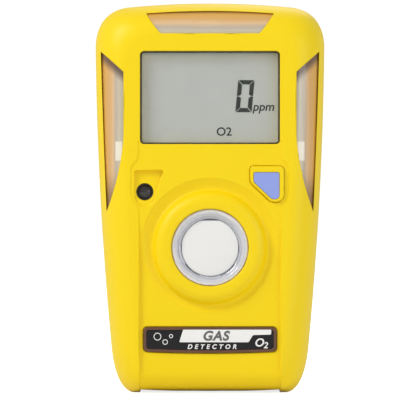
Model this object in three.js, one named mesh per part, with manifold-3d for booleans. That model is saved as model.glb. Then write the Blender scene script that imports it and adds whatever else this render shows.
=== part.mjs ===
// A clip-on personal gas detector: two yellow shells around a display, a diffusion gas sensor,
// a sounder, a vibration motor and three alarm lights, with an alligator clip on its back.
// Millimetres, +Z up. The detector stands upright on its two foot rails and faces -Y.
// The origin is the centre of the underside of its bounding box.

import * as THREE from "three";
import { mergeVertices } from "three/addons/utils/BufferGeometryUtils.js";
import Module from "manifold-3d";

const wasm = await Module();
wasm.setup();

// ---- Driving dimensions ----

// The outline seen from the front, right half, from the foot up to the crown.
const OUTLINE = {
  foot: { x: 17, z: 0 },
  hip: { x: 21.9, z: 9.3 },
  waist: { x: 25.1, z: 42.8 },
  shoulder: { x: 25.5, z: 76.3 },
  temple: { x: 18.3, z: 85.7 },
  crown: 87.5,
  segments: 6,
};
const WALL = 2;

// Depths along Y: the face is at the front, the flat back at the rear.
const FACE = -19.3;
const BIB = -19.1;
const LOWER_PANEL = -18.5;
const DISH_FLOOR = -18.1;
const BOSS_CREST = -20.5;
const CAVITY_FRONT = -17;
const FLANK_FRONT = -9.3; // where the rounded front edge runs into the straight flank
const SPLIT = { front: -5, rear: -4.6 };
const FLANK_BACK = 2.5;
const CAVITY_BACK = 5.2;
const BACK = 7;
const FRONT_ROUND = 7;
const BACK_ROUND = 3;
const FOOT_SHARE = 0.6; // the rounding along the foot as a share of the rounding along the flanks

const SENSOR = { z: 32.3, bore: 8.9, boss: 12.5, dish: 15.6, cell: 9.9 };
const DISPLAY = { z: 65.55, width: 31.2, height: 20.7, corner: 0.8 };
const DISPLAY_BOTTOM = DISPLAY.z - DISPLAY.height / 2;
const DISPLAY_TOP = DISPLAY.z + DISPLAY.height / 2;
const LENS_BACK = -12.7;
const BUTTON = { x: 12.6, z: 46.2, gap: 0.35, stem: -14.95 };
const PORT = { x: -14.4, z: 44.6, radius: 1.9 };
const NAMEPLATE = { halfWidth: 14.8, top: 14.6, bottom: 9, sag: 0.35, corner: 0.8, floor: -18, face: -18.9 };
const BOARD = { front: -11.2, back: -10.2, halfWidth: 20.8 };
const SENSOR_BOARD = { front: -3.2, back: -2.2 };
const BATTERY = { y: -2.7, z: 62, radius: 7.25, halfLength: 16.2 };
const MOTOR = { y: 1.2, z: 14, can: 2.2, shaft: 0.4 };
const SCREWS = [
  { x: -19, z: 79.6 },
  { x: 19, z: 79.6 },
  { x: -16.2, z: 7.6 },
  { x: 16.2, z: 7.6 },
];
const BOARD_SCREWS = [
  { x: -17.6, z: 37.6 },
  { x: 17.6, z: 37.6 },
];
const PINS = [
  { x: 0, z: 6.75 },
  { x: -5.85, z: -3.4 },
  { x: 5.85, z: -3.4 },
];
const CLIP = { y: 12.2, z: 58, halfWidth: 7, plate: 1, pin: 1.2, screwZ: 45, tip: 33 };

// ---- Materials ----

const finish = (color, roughness, metalness = 0) =>
  new THREE.MeshStandardMaterial({ color, roughness, metalness });

const MATERIALS = {
  shell: finish(0xf5dc1e, 0.45),
  seal: finish(0x26262a, 0.8),
  window: finish(0xd8dcd8, 0.08),
  adhesive: finish(0x1c1c1e, 0.7),
  crystal: finish(0xb4b9b2, 0.25),
  frame: finish(0x17171a, 0.5),
  amber: finish(0xd9a860, 0.2),
  led: finish(0xf6f1e2, 0.3),
  blue: finish(0x98aee6, 0.45),
  black: finish(0x141416, 0.35),
  clear: finish(0xdfe2e8, 0.1),
  filter: finish(0xeeeeec, 0.5),
  steel: finish(0xb9bbbe, 0.28, 1),
  gold: finish(0xcfa750, 0.3, 1),
  board: finish(0x1f6b3c, 0.45),
  cell: finish(0xe6e6ea, 0.4),
  wrap: finish(0x2f8a5b, 0.35),
  label: finish(0x1d1a1c, 0.2),
  paper: finish(0xdadbd8, 0.5),
};

// ---- Solids: joining and cutting ----

function solid(geometry) {
  const bare = geometry.index ? geometry.toNonIndexed() : geometry.clone();
  bare.deleteAttribute("normal");
  bare.deleteAttribute("uv");
  const merged = mergeVertices(bare, 1e-4);
  return new wasm.Manifold(
    new wasm.Mesh({
      numProp: 3,
      vertProperties: merged.attributes.position.array,
      triVerts: new Uint32Array(merged.index.array),
    }),
  );
}

function geometryOf(made) {
  const { vertProperties, triVerts } = made.getMesh();
  const geometry = new THREE.BufferGeometry();
  geometry.setAttribute("position", new THREE.BufferAttribute(vertProperties, 3));
  geometry.setIndex(new THREE.BufferAttribute(triVerts, 1));
  geometry.computeVertexNormals();
  return geometry;
}

const joined = (...solids) => solids.reduce((whole, next) => whole.add(next));
const cut = (whole, ...tools) => tools.reduce((rest, tool) => rest.subtract(tool), whole);

// ---- Shapes ----

// A box between two corners.
function block(x0, x1, y0, y1, z0, z1) {
  const geometry = new THREE.BoxGeometry(x1 - x0, y1 - y0, z1 - z0);
  return geometry.translate((x0 + x1) / 2, (y0 + y1) / 2, (z0 + z1) / 2);
}

// A shape drawn in X and Z, extruded along Y from its front to its back.
function slice(shape, front, back, curveSegments = 4) {
  const settings = { depth: back - front, bevelEnabled: false, curveSegments };
  return new THREE.ExtrudeGeometry(shape, settings).rotateX(Math.PI / 2).translate(0, back, 0);
}

// A round bar along Y.
function barY(radius, front, back, x = 0, z = 0, segments = 32) {
  const geometry = new THREE.CylinderGeometry(radius, radius, back - front, segments);
  return geometry.translate(x, (front + back) / 2, z);
}

// A round bar along X.
function barX(radius, left, right, y, z, segments = 24) {
  const geometry = new THREE.CylinderGeometry(radius, radius, right - left, segments);
  return geometry.rotateZ(Math.PI / 2).translate((left + right) / 2, y, z);
}

// A profile of [radius, y] pairs, counter-clockwise, turned about the Y axis. Rings repeat their first point.
function turned(profile, segments = 32) {
  const points = profile.map(([radius, y]) => new THREE.Vector2(radius, y));
  return new THREE.LatheGeometry(points, segments);
}

function ring(outer, inner, front, back, segments = 32) {
  const corners = [[inner, front], [outer, front], [outer, back], [inner, back], [inner, front]];
  return turned(corners, segments);
}

function polygon(points) {
  return new THREE.Shape(points.map(([x, z]) => new THREE.Vector2(x, z)));
}

function roundedRectangle(halfWidth, bottom, top, corner) {
  const shape = new THREE.Shape();
  shape.moveTo(-halfWidth + corner, bottom);
  shape.absarc(halfWidth - corner, bottom + corner, corner, -Math.PI / 2, 0);
  shape.absarc(halfWidth - corner, top - corner, corner, 0, Math.PI / 2);
  shape.absarc(-halfWidth + corner, top - corner, corner, Math.PI / 2, Math.PI);
  shape.absarc(-halfWidth + corner, bottom + corner, corner, Math.PI, Math.PI * 1.5);
  return shape;
}

// A polygon whose corners are rounded, each [x, z, radius].
function softPolygon(corners) {
  const shape = new THREE.Shape();
  corners.forEach(([x, z, radius], i) => {
    const here = new THREE.Vector2(x, z);
    const [beforeX, beforeZ] = corners.at(i - 1);
    const [afterX, afterZ] = corners[(i + 1) % corners.length];
    const towards = (px, pz) => new THREE.Vector2(px, pz).sub(here).setLength(radius).add(here);
    const start = towards(beforeX, beforeZ);
    const end = towards(afterX, afterZ);
    if (i === 0) shape.moveTo(start.x, start.y);
    else shape.lineTo(start.x, start.y);
    shape.quadraticCurveTo(x, z, end.x, end.y);
  });
  return shape;
}

// ---- The body's rounded form ----

function bodyOutline() {
  const { foot, hip, waist, shoulder, temple, crown } = OUTLINE;
  const shape = new THREE.Shape();
  shape.moveTo(-foot.x, foot.z);
  shape.lineTo(foot.x, foot.z);
  shape.bezierCurveTo(foot.x + 2.4, 0.2, hip.x - 0.7, 3.4, hip.x, hip.z);
  shape.quadraticCurveTo(waist.x, waist.z, shoulder.x, shoulder.z);
  shape.bezierCurveTo(shoulder.x + 0.1, 81, temple.x + 5.3, 85, temple.x, temple.z);
  shape.quadraticCurveTo(0, crown, -temple.x, temple.z);
  shape.bezierCurveTo(-temple.x - 5.3, 85, -shoulder.x - 0.1, 81, -shoulder.x, shoulder.z);
  shape.quadraticCurveTo(-waist.x, waist.z, -hip.x, hip.z);
  shape.bezierCurveTo(0.7 - hip.x, 3.4, -2.4 - foot.x, 0.2, -foot.x, foot.z);
  return shape.getPoints(OUTLINE.segments).slice(0, -1);
}

// The outline drawn in by an inset and a rounding. Along the foot the rounding counts for less.
function contour(inset, rounding) {
  const height = (OUTLINE.temple.z + OUTLINE.crown) / 2;
  const narrowed = 1 - (inset + rounding) / OUTLINE.shoulder.x;
  const low = inset + rounding * FOOT_SHARE;
  const high = height - inset - rounding;
  return bodyOutline().map(({ x, y }) => new THREE.Vector2(x * narrowed, low + (y * (high - low)) / height));
}

// The body's solid form inside the outline: straight flanks that round off towards the face and the back.
function bodyForm({ inset, face = FACE, back = BACK }) {
  const frontRound = FRONT_ROUND - inset;
  const backRound = BACK_ROUND - inset / 2;
  const steps = 4;
  const levels = [];
  for (let i = 0; i <= steps; i++) {
    const turn = (i / steps) * (Math.PI / 2);
    levels.push([FLANK_FRONT + (face - FLANK_FRONT) * Math.cos(turn), frontRound * (1 - Math.sin(turn))]);
  }
  for (let i = steps; i >= 0; i--) {
    const turn = (i / steps) * (Math.PI / 2);
    levels.push([FLANK_BACK + (back - FLANK_BACK) * Math.cos(turn), backRound * (1 - Math.sin(turn))]);
  }
  const rings = levels.map(([, rounding]) => contour(inset, rounding));
  const count = rings[0].length;
  const positions = rings.flatMap((points, i) => points.flatMap(({ x, y }) => [x, levels[i][0], y]));
  const indices = [];
  for (let i = 0; i < rings.length - 1; i++) {
    for (let j = 0; j < count; j++) {
      const next = (j + 1) % count;
      const [a, b] = [i * count + j, i * count + next];
      indices.push(a, a + count, b + count, a, b + count, b);
    }
  }
  const last = (rings.length - 1) * count;
  THREE.ShapeUtils.triangulateShape(rings[0], []).forEach(([a, b, c]) => indices.push(a, b, c));
  THREE.ShapeUtils.triangulateShape(rings.at(-1), []).forEach(([a, b, c]) => indices.push(last + a, last + c, last + b));
  const geometry = new THREE.BufferGeometry();
  geometry.setAttribute("position", new THREE.Float32BufferAttribute(positions, 3));
  geometry.setIndex(indices);
  return solid(geometry);
}

const slab = (front, back) => solid(block(-60, 60, front, back, -20, 120));
const frontForm = (inset, face) => bodyForm({ inset, face });

// The space under the body between its two foot rails, with a bowed ceiling.
function underCut() {
  const shape = new THREE.Shape();
  shape.moveTo(-SENSOR.dish, -5);
  shape.lineTo(SENSOR.dish, -5);
  shape.lineTo(SENSOR.dish, 0.8);
  shape.quadraticCurveTo(0, -0.3, -SENSOR.dish, 0.8);
  return solid(slice(shape, -30, 20));
}

// The recess between the rails: a dish around the sensor that opens into the lower panel.
function lowerRecess() {
  const channel = solid(block(-SENSOR.dish, SENSOR.dish, -25, -5, -5, SENSOR.z));
  const panelEdge = new THREE.Shape();
  panelEdge.moveTo(FLANK_FRONT, -3);
  panelEdge.lineTo(FLANK_FRONT, 0.3);
  panelEdge.bezierCurveTo(-14, 0.3, LOWER_PANEL, 1.8, LOWER_PANEL, 4.4);
  panelEdge.lineTo(LOWER_PANEL, 60);
  panelEdge.lineTo(0, 60);
  panelEdge.lineTo(0, -3);
  const panel = new THREE.ExtrudeGeometry(panelEdge, { depth: 60, bevelEnabled: false, curveSegments: 8 });
  const channelCut = channel.subtract(solid(panel.rotateY(Math.PI / 2).rotateX(Math.PI / 2).translate(-30, 0, 0)));
  const slope = 2;
  const height = DISH_FLOOR - FACE + 1;
  const dish = new THREE.CylinderGeometry(
    SENSOR.dish - slope * (DISH_FLOOR - FACE),
    SENSOR.dish + slope,
    height,
    56,
  ).translate(0, DISH_FLOOR - height / 2, SENSOR.z);
  return joined(channelCut, solid(dish));
}

// The shallow step around the display's foot, the button and the sounder port, right half mirrored.
function bibShape() {
  const edge = [[15.8, 55.4], [15.8, 51.8], [17.4, 50.2], [17.4, 44.4], [15.6, 41.4], [15.6, SENSOR.z]];
  return polygon([...edge, ...edge.toReversed().map(([x, z]) => [-x, z])]);
}

const SIDE_WINDOW = { top: [24.2, 75.7], neck: [19.5, 71.7], inner: 19.1, bend: 56.5, tip: [22.9, 40.2] };

// The blade-shaped side window, on the right for side 1 and on the left for side -1.
function sideWindow(side, gap = 0) {
  const { top, neck, inner, bend, tip } = SIDE_WINDOW;
  const shape = new THREE.Shape();
  shape.moveTo(side * (top[0] - gap), top[1] - 2.5 * gap);
  shape.lineTo(side * (neck[0] + gap), neck[1] - gap);
  shape.lineTo(side * (inner + gap), neck[1] - 0.6 - gap);
  shape.lineTo(side * (inner + gap), bend);
  shape.quadraticCurveTo(side * (inner + gap + 0.6), 48.5, side * tip[0], tip[1] + 6 * gap);
  shape.quadraticCurveTo(side * (23.6 - gap), 58, side * (top[0] - gap), top[1] - 2.5 * gap);
  return shape;
}

function topWindow(gap = 0) {
  const shape = new THREE.Shape();
  shape.moveTo(-10.9 + gap, 79.6 + gap);
  shape.lineTo(10.9 - gap, 79.6 + gap);
  shape.quadraticCurveTo(12.6 - gap, 81.4, 14.1 - 1.6 * gap, 84.1 - gap);
  shape.quadraticCurveTo(0, 85.2 - gap, -14.1 + 1.6 * gap, 84.1 - gap);
  shape.quadraticCurveTo(-12.6 + gap, 81.4, -10.9 + gap, 79.6 + gap);
  return shape;
}

const BUTTON_CORNERS = [
  [8.75, 50.4, 0.9],
  [16.5, 50.4, 1.1],
  [16.5, 42.2, 1.9],
  [13.4, 42.2, 0.9],
  [8.75, 46.6, 0.9],
];

// The button's five-sided outline, shrunk or grown about its centre.
function buttonOutline(grow) {
  const centre = { x: 13, z: 46.8 };
  const half = 4;
  const scaled = (value, middle) => middle + (value - middle) * (1 + grow / half);
  return softPolygon(BUTTON_CORNERS.map(([x, z, r]) => [scaled(x, centre.x), scaled(z, centre.z), r]));
}

function nameplateOutline(grow) {
  const { halfWidth, top, bottom, sag, corner } = NAMEPLATE;
  const [w, t, b] = [halfWidth + grow, top + grow, bottom - grow];
  const shape = new THREE.Shape();
  shape.moveTo(-w + corner, b);
  shape.quadraticCurveTo(0, b - 2 * sag, w - corner, b);
  shape.quadraticCurveTo(w, b, w, b + corner);
  shape.lineTo(w, t - corner);
  shape.quadraticCurveTo(w, t, w - corner, t);
  shape.lineTo(-w + corner, t);
  shape.quadraticCurveTo(-w, t, -w, t - corner);
  shape.lineTo(-w, b + corner);
  shape.quadraticCurveTo(-w, b, -w + corner, b);
  return shape;
}

// ---- Housing ----

// The ring around the gas inlet, standing up out of the dish.
function sensorBoss() {
  return turned(
    [
      [0, BOSS_CREST],
      [SENSOR.boss - 1.7, BOSS_CREST],
      [SENSOR.boss - 0.8, BOSS_CREST + 0.3],
      [SENSOR.boss - 0.2, BOSS_CREST + 0.9],
      [SENSOR.boss, BOSS_CREST + 1.7],
      [SENSOR.boss, CAVITY_FRONT - 0.2],
      [0, CAVITY_FRONT - 0.2],
    ],
    40,
  ).translate(0, 0, SENSOR.z);
}

// The recesses and openings of the face, front to back.
function faceCuts() {
  const display = roundedRectangle(DISPLAY.width / 2, DISPLAY_BOTTOM, DISPLAY_TOP, DISPLAY.corner);
  const portPocket = softPolygon([
    [-16.8, 49.4, 0.7],
    [-10.2, 49.4, 0.7],
    [-12, 41.7, 2.2],
    [-16.8, 41.7, 2],
  ]);
  return [
    barY(SENSOR.bore, BOSS_CREST - 1, -10, 0, SENSOR.z, 40),
    barY(SENSOR.cell + 0.2, -17.5, -10, 0, SENSOR.z, 40),
    slice(display, FACE - 1, -10, 4),
    slice(sideWindow(1), FACE - 1, LENS_BACK + 0.2, 6),
    slice(sideWindow(-1), FACE - 1, LENS_BACK + 0.2, 6),
    slice(topWindow(), FACE - 1, LENS_BACK + 0.2, 6),
    slice(buttonOutline(0), FACE - 2, -16, 4),
    slice(portPocket, FACE - 1, FACE + 0.8, 4),
    barY(PORT.radius, FACE - 1, -16, PORT.x, PORT.z, 24),
    slice(nameplateOutline(0), FACE - 1, NAMEPLATE.floor, 4),
  ].map(solid);
}

function frontShell() {
  const form = frontForm(0, FACE).intersect(slab(FACE - 1, SPLIT.front));
  const faced = cut(form, lowerRecess(), solid(slice(bibShape(), FACE - 1, BIB)));
  const hollow = cut(joined(faced, solid(sensorBoss())), frontForm(WALL, CAVITY_FRONT), underCut());
  const posts = [
    barY(SENSOR.cell + 1.6, CAVITY_FRONT - 0.6, -12.4, 0, SENSOR.z, 40),
    ...SCREWS.map(({ x, z }) => barY(2.4, CAVITY_FRONT - 0.3, SPLIT.front, x, z, 18)),
    ...BOARD_SCREWS.map(({ x, z }) => barY(1.8, CAVITY_FRONT - 0.3, BOARD.front - 0.1, x, z, 14)),
  ];
  const pilots = [
    ...SCREWS.map(({ x, z }) => barY(1.25, -15, 0, x, z, 12)),
    ...BOARD_SCREWS.map(({ x, z }) => barY(0.75, -16, 0, x, z, 10)),
  ];
  return cut(joined(hollow, ...posts.map(solid)), ...faceCuts(), ...pilots.map(solid));
}

function rearShell() {
  const outer = bodyForm({ inset: 0 }).intersect(slab(SPLIT.rear, BACK + 1));
  const cavity = bodyForm({ inset: WALL, back: CAVITY_BACK }).intersect(slab(-8, CAVITY_BACK + 1));
  const bosses = [
    barY(3.6, 1.2, CAVITY_BACK + 0.3, 0, CLIP.screwZ, 18),
    ...SCREWS.map(({ x, z }) => barY(2.9, SPLIT.rear, CAVITY_BACK + 0.3, x, z, 20)),
  ];
  const holes = [
    barY(1.15, 2, BACK + 1, 0, CLIP.screwZ, 14),
    ...SCREWS.map(({ x, z }) => barY(1.45, -6, BACK + 1, x, z, 14)),
    ...SCREWS.map(({ x, z }) => barY(2.45, 4, BACK + 1, x, z, 20)),
  ];
  return cut(joined(cut(outer, cavity, underCut()), ...bosses.map(solid)), ...holes.map(solid));
}

function shellGasket() {
  const sealed = slab(SPLIT.front, SPLIT.rear);
  const outer = frontForm(0.9, FACE + 0.9).intersect(sealed);
  return cut(outer, frontForm(1.9, FACE + 1.9));
}

// A pan-head screw with a hexagonal socket, its tip towards -Y and its head seated at y = seat.
function screwGeometry({ head, shank, length, seat, socket }) {
  const body = turned(
    [
      [0, seat - length],
      [shank - 0.3, seat - length],
      [shank, seat - length + 0.5],
      [shank, seat],
      [head, seat],
      [head, seat + 0.9],
      [head - 0.5, seat + 1.4],
      [0, seat + 1.4],
    ],
    16,
  );
  const hexagon = new THREE.CylinderGeometry(socket, socket, 2, 6).translate(0, seat + 1.7, 0);
  return geometryOf(cut(solid(body), solid(hexagon)));
}

// ---- Display ----

function displayLens() {
  const visible = roundedRectangle(DISPLAY.width / 2 - 0.15, DISPLAY_BOTTOM + 0.15, DISPLAY_TOP - 0.15, 0.7);
  const flange = roundedRectangle(DISPLAY.width / 2 + 1.5, DISPLAY_BOTTOM - 1, DISPLAY_TOP + 1, 1.2);
  return geometryOf(joined(solid(slice(visible, -18.2, -16)), solid(slice(flange, -16.6, -15.6))));
}

function displayAdhesive() {
  const outer = roundedRectangle(DISPLAY.width / 2 + 1.4, DISPLAY_BOTTOM - 0.9, DISPLAY_TOP + 0.9, 1.1);
  const hole = roundedRectangle(DISPLAY.width / 2 + 0.1, DISPLAY_BOTTOM - 0.1, DISPLAY_TOP + 0.1, 0.8);
  return geometryOf(cut(solid(slice(outer, CAVITY_FRONT, -16.6)), solid(slice(hole, -18, -16))));
}

function displayFrame() {
  const outer = solid(block(-17.7, 17.7, -15.5, BOARD.front, 53.7, 77));
  const glassPocket = solid(block(-17, 17, -16, -13.35, 54.1, 76.6));
  const opening = solid(block(-14.6, 14.6, -16, -11, 54.4, 76.3));
  return geometryOf(cut(outer, glassPocket, opening));
}

// ---- Alarm lights ----

function alarmLens(window) {
  const skin = frontForm(0.5, FACE + 0.5).subtract(frontForm(WALL, FACE + WALL));
  return geometryOf(skin.intersect(solid(slice(window, FACE - 1, LENS_BACK, 6))));
}

// ---- Button and switch ----

function buttonCap() {
  const crown = solid(slice(buttonOutline(-BUTTON.gap), -19.7, -16.5));
  const flange = solid(slice(buttonOutline(0.7), -16.7, -16));
  const stem = solid(barY(1.3, -16.2, BUTTON.stem, BUTTON.x, BUTTON.z, 20));
  const pocket = solid(slice(inlayOutline(0.1), -20, -19.2));
  return geometryOf(cut(joined(crown, flange, stem), pocket));
}

function inlayOutline(grow) {
  return softPolygon([
    [9.8 - grow, 48.8 + grow, 0.3],
    [15.2 + grow, 48.8 + grow, 0.4],
    [15.2 + grow, 42.9 - grow, 0.9],
    [13.4, 42.9 - grow, 0.4],
    [9.8 - grow, 46.3, 0.4],
  ]);
}

// ---- Sounder ----

function sounderCup() {
  const r = PORT.radius - 0.1;
  return turned(
    [
      [0, -17.7],
      [r - 0.5, -17.7],
      [r - 0.35, -18.2],
      [r, -18.2],
      [r, CAVITY_FRONT],
      [0, CAVITY_FRONT],
    ],
    32,
  );
}

function sounderBody() {
  return turned(
    [
      [0, -15.2],
      [1.1, -15.2],
      [1.1, -15.5],
      [4.1, -15.5],
      [4.3, -15.3],
      [4.3, BOARD.front],
      [0, BOARD.front],
    ],
    32,
  );
}

// ---- Gas inlet and sensor ----

function sensorRetainer() {
  const inner = SENSOR.bore - 2.35;
  return turned([
    [5.6, -17.6],
    [5.6, -18.2],
    [inner, -18.2],
    [inner, -19.2],
    [7.7, -19.9],
    [8.5, -19.9],
    [8.75, -19.6],
    [8.75, -17.6],
    [5.6, -17.6],
  ]);
}

function filterDisc() {
  return turned([
    [0, -19],
    [4, -18.95],
    [5.9, -18.85],
    [6.4, -18.6],
    [6.4, -18.2],
    [0, -18.2],
  ]);
}

function sensorCell() {
  return turned([
    [0, -16.9],
    [8.9, -16.9],
    [8.9, -16.2],
    [SENSOR.cell, -15.9],
    [SENSOR.cell, -4.4],
    [SENSOR.cell - 0.5, -3.9],
    [0, -3.9],
  ]);
}

function sensorBoard() {
  const plate = solid(block(-12, 12, SENSOR_BOARD.front, SENSOR_BOARD.back, 20.5, 48));
  const holes = PINS.map(({ x, z }) => solid(barY(0.95, -4, -1, x, SENSOR.z + z, 16)));
  return geometryOf(cut(plate, ...holes));
}

// ---- Main board ----

function mainBoard() {
  const w = BOARD.halfWidth;
  const shape = new THREE.Shape();
  shape.moveTo(-w, 34);
  shape.absarc(0, SENSOR.z, SENSOR.cell + 0.8, Math.PI * 0.95, Math.PI * 0.05, true);
  shape.lineTo(w, 34);
  shape.lineTo(w, 75.6);
  shape.lineTo(13, 75.6);
  shape.lineTo(13, 83.5);
  shape.lineTo(-13, 83.5);
  shape.lineTo(-13, 75.6);
  shape.lineTo(-w, 75.6);
  const holes = BOARD_SCREWS.map(({ x, z }) => solid(barY(1, -13, -9, x, z, 16)));
  return geometryOf(cut(solid(slice(shape, BOARD.front, BOARD.back, 16)), ...holes));
}

// ---- Battery ----

function batteryCell() {
  const { radius, halfLength } = BATTERY;
  return turned(
    [
      [0, -halfLength],
      [radius - 0.9, -halfLength],
      [radius, -halfLength + 0.9],
      [radius, halfLength - 1.1],
      [radius - 0.6, halfLength - 0.5],
      [2.8, halfLength - 0.5],
      [2.8, halfLength],
      [0, halfLength],
    ],
    28,
  ).rotateZ(-Math.PI / 2);
}

// A nickel strip from one end of the cell to the board, drawn for the right end.
function batteryTab() {
  const inner = BATTERY.halfLength + 0.05;
  const face = solid(block(inner, inner + 0.3, BOARD.back + 0.05, -0.5, -2, 2));
  const foot = solid(block(inner, inner + 3, BOARD.back + 0.05, BOARD.back + 0.35, -2, 2));
  return geometryOf(joined(face, foot));
}

// ---- Vibration alarm ----

function motorCradle() {
  const body = solid(block(-7, 1.5, MOTOR.y - 3.2, CAVITY_BACK - 0.1, MOTOR.z - 3.4, MOTOR.z + 3.4));
  return geometryOf(cut(body, solid(barX(MOTOR.can + 0.1, -8, 3, MOTOR.y, MOTOR.z, 24))));
}

function motorCan() {
  const can = solid(barX(MOTOR.can, -8.5, 2.5, 0, 0, 24));
  const nose = solid(barX(0.9, 2.2, 3.1, 0, 0, 16));
  const bore = solid(barX(MOTOR.shaft + 0.06, -3, 4, 0, 0, 14));
  return geometryOf(cut(joined(can, nose), bore));
}

// A half-round weight that hangs heavy side down.
function vibrationWeight() {
  const shape = new THREE.Shape();
  shape.moveTo(-1, 0);
  shape.lineTo(-2.9, -0.4);
  shape.absarc(0, 0, 2.93, Math.PI * 1.04, Math.PI * 1.96);
  shape.lineTo(1, 0);
  shape.absarc(0, 0, 1, 0, Math.PI);
  const half = new THREE.ExtrudeGeometry(shape, { depth: 4, bevelEnabled: false, curveSegments: 14 });
  half.rotateX(Math.PI / 2).rotateZ(Math.PI / 2).translate(3.7, 0, 0);
  return geometryOf(cut(solid(half), solid(barX(MOTOR.shaft + 0.05, 3, 9, 0, 0, 14))));
}

// ---- Clip ----

// A flat strip bent along a path of [y, z] points and extruded along X.
function bentStrip(path, thickness, halfWidth) {
  const side = (i, offset) => {
    const [y0, z0] = path[Math.max(i - 1, 0)];
    const [y1, z1] = path[Math.min(i + 1, path.length - 1)];
    const along = new THREE.Vector2(y1 - y0, z1 - z0).normalize();
    return [path[i][0] + along.y * offset, path[i][1] - along.x * offset];
  };
  const near = path.map((_, i) => side(i, 0));
  const far = path.map((_, i) => side(i, thickness)).toReversed();
  const strip = new THREE.ExtrudeGeometry(polygon([...near, ...far]), {
    depth: 2 * halfWidth,
    bevelEnabled: false,
  });
  return solid(strip.rotateY(Math.PI / 2).rotateX(Math.PI / 2).translate(-halfWidth, 0, 0));
}

// Notches between gripping teeth across a strip's end, cut along Z. shift moves them by a share of a tooth.
function teethCut(tipY, depthY, z0, z1, shift) {
  const pitch = 2.2;
  const count = 7;
  return Array.from({ length: count }, (_, i) => {
    const x = (i - (count - 1) / 2 + shift) * pitch;
    const notch = polygon([[x - pitch / 2, tipY], [x + pitch / 2, tipY], [x, tipY + depthY]]);
    const tool = new THREE.ExtrudeGeometry(notch, { depth: z1 - z0, bevelEnabled: false });
    return solid(tool.translate(0, 0, z0));
  });
}

// An ear that rises from the plane y = root and rounds off about the pin.
function ear(x0, x1, root, radius) {
  const { y, z } = CLIP;
  const shape = new THREE.Shape();
  shape.moveTo(root, z - 5.5);
  shape.lineTo(y, z - radius);
  shape.absarc(y, z, radius, -Math.PI / 2, Math.PI / 2, root > y);
  shape.lineTo(root, z + 5.5);
  const plate = new THREE.ExtrudeGeometry(shape, { depth: x1 - x0, bevelEnabled: false, curveSegments: 7 });
  return solid(plate.rotateY(Math.PI / 2).rotateX(Math.PI / 2).translate(x0, 0, 0));
}

function clipBase() {
  const { halfWidth, plate, pin, screwZ, tip } = CLIP;
  const back = BACK + plate;
  const sheet = slice(
    softPolygon([
      [-halfWidth, tip + 2, 0.6],
      [halfWidth, tip + 2, 0.6],
      [halfWidth, 72, 3],
      [-halfWidth, 72, 3],
    ]),
    BACK,
    back,
  );
  const grip = block(-halfWidth + 1, halfWidth - 1, BACK, 9.8, tip, tip + 1);
  const lip = block(-halfWidth + 1, halfWidth - 1, BACK, back, tip, tip + 2.5);
  const ears = [-halfWidth, halfWidth - 1].map((x) => ear(x, x + 1, back - 0.5, 2.6));
  const base = joined(solid(sheet), solid(grip), solid(lip), ...ears);
  return geometryOf(
    cut(
      base,
      solid(barX(pin + 0.05, -9, 9, CLIP.y, CLIP.z, 24)),
      solid(barY(1.35, BACK - 1, back + 1, 0, screwZ, 20)),
      ...teethCut(10.05, -1.3, tip - 1, tip + 1.5, 0),
    ),
  );
}

const JAW_PATH = [
  [9.9, 33.1],
  [11.6, 34.2],
  [13.1, 36.6],
  [14, 40.5],
  [14.4, 46],
  [14.6, 53],
  [15.3, 59],
  [16.6, 65],
  [18.2, 71],
  [19.4, 75],
  [19.5, 76.2],
];

function clipJaw() {
  const { halfWidth, pin } = CLIP;
  const inner = halfWidth - 1.4;
  const strip = bentStrip(JAW_PATH, 1, inner);
  const ears = [-inner, inner - 1].map((x) => ear(x, x + 1, 15.2, 2.2));
  const jaw = joined(strip, ...ears);
  return geometryOf(
    cut(
      jaw,
      solid(barX(pin + 0.05, -9, 9, CLIP.y, CLIP.z, 24)),
      ...teethCut(9.6, 1.5, 31, 34.2, 0.5),
    ),
  );
}

function clipPin() {
  const shank = [
    [0, -7.9],
    [1.6, -7.9],
    [1.9, -7.6],
    [1.9, -7.15],
    [CLIP.pin, -7.15],
    [CLIP.pin, 7.15],
    [1.9, 7.15],
    [1.9, 7.6],
    [1.6, 7.9],
    [0, 7.9],
  ];
  return turned(shank, 20).rotateZ(-Math.PI / 2);
}

// A torsion spring: coils around the pin, one leg down on the base and one up under the lever.
function clipSpring() {
  const coil = 2.05;
  const turns = 5.5;
  const pitch = 1.15;
  const points = [new THREE.Vector3((-turns * pitch) / 2, -3.75, -8)];
  const steps = 60;
  for (let i = 0; i <= steps; i++) {
    const angle = (i / steps) * turns * 2 * Math.PI - Math.PI;
    const x = (i / steps - 0.5) * turns * pitch;
    points.push(new THREE.Vector3(x, coil * Math.cos(angle), coil * Math.sin(angle)));
  }
  points.push(new THREE.Vector3((turns * pitch) / 2, 3.7, 7));
  const wire = new THREE.Shape();
  wire.absarc(0, 0, 0.36, 0, Math.PI * 2);
  const route = new THREE.CatmullRomCurve3(points, false, "centripetal");
  return new THREE.ExtrudeGeometry(wire, { steps: 72, curveSegments: 3, extrudePath: route });
}

// ---- Assembly ----

const detector = new THREE.Group();

function place(name, geometry, material, { x = 0, y = 0, z = 0 } = {}, parent = detector) {
  const mesh = new THREE.Mesh(geometry, MATERIALS[material]);
  mesh.name = name;
  mesh.position.set(x, y, z);
  parent.add(mesh);
  return mesh;
}

function addHousing() {
  place("front_shell", geometryOf(frontShell()), "shell");
  place("rear_shell", geometryOf(rearShell()), "shell");
  place("shell_gasket", geometryOf(shellGasket()), "seal");
  SCREWS.forEach(({ x, z }, i) => {
    const screw = screwGeometry({ head: 2.15, shank: 1.1, length: 17, seat: 4.05, socket: 0.8 });
    place(`shell_screw_${i + 1}`, screw, "steel", { x, z });
  });
  const labelShape = roundedRectangle(14.5, 8.5, 28, 1.2);
  place("rear_label", slice(labelShape, BACK, BACK + 0.25), "paper");
  place("nameplate", slice(nameplateOutline(-0.12), NAMEPLATE.face, NAMEPLATE.floor, 6), "label");
}

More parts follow.
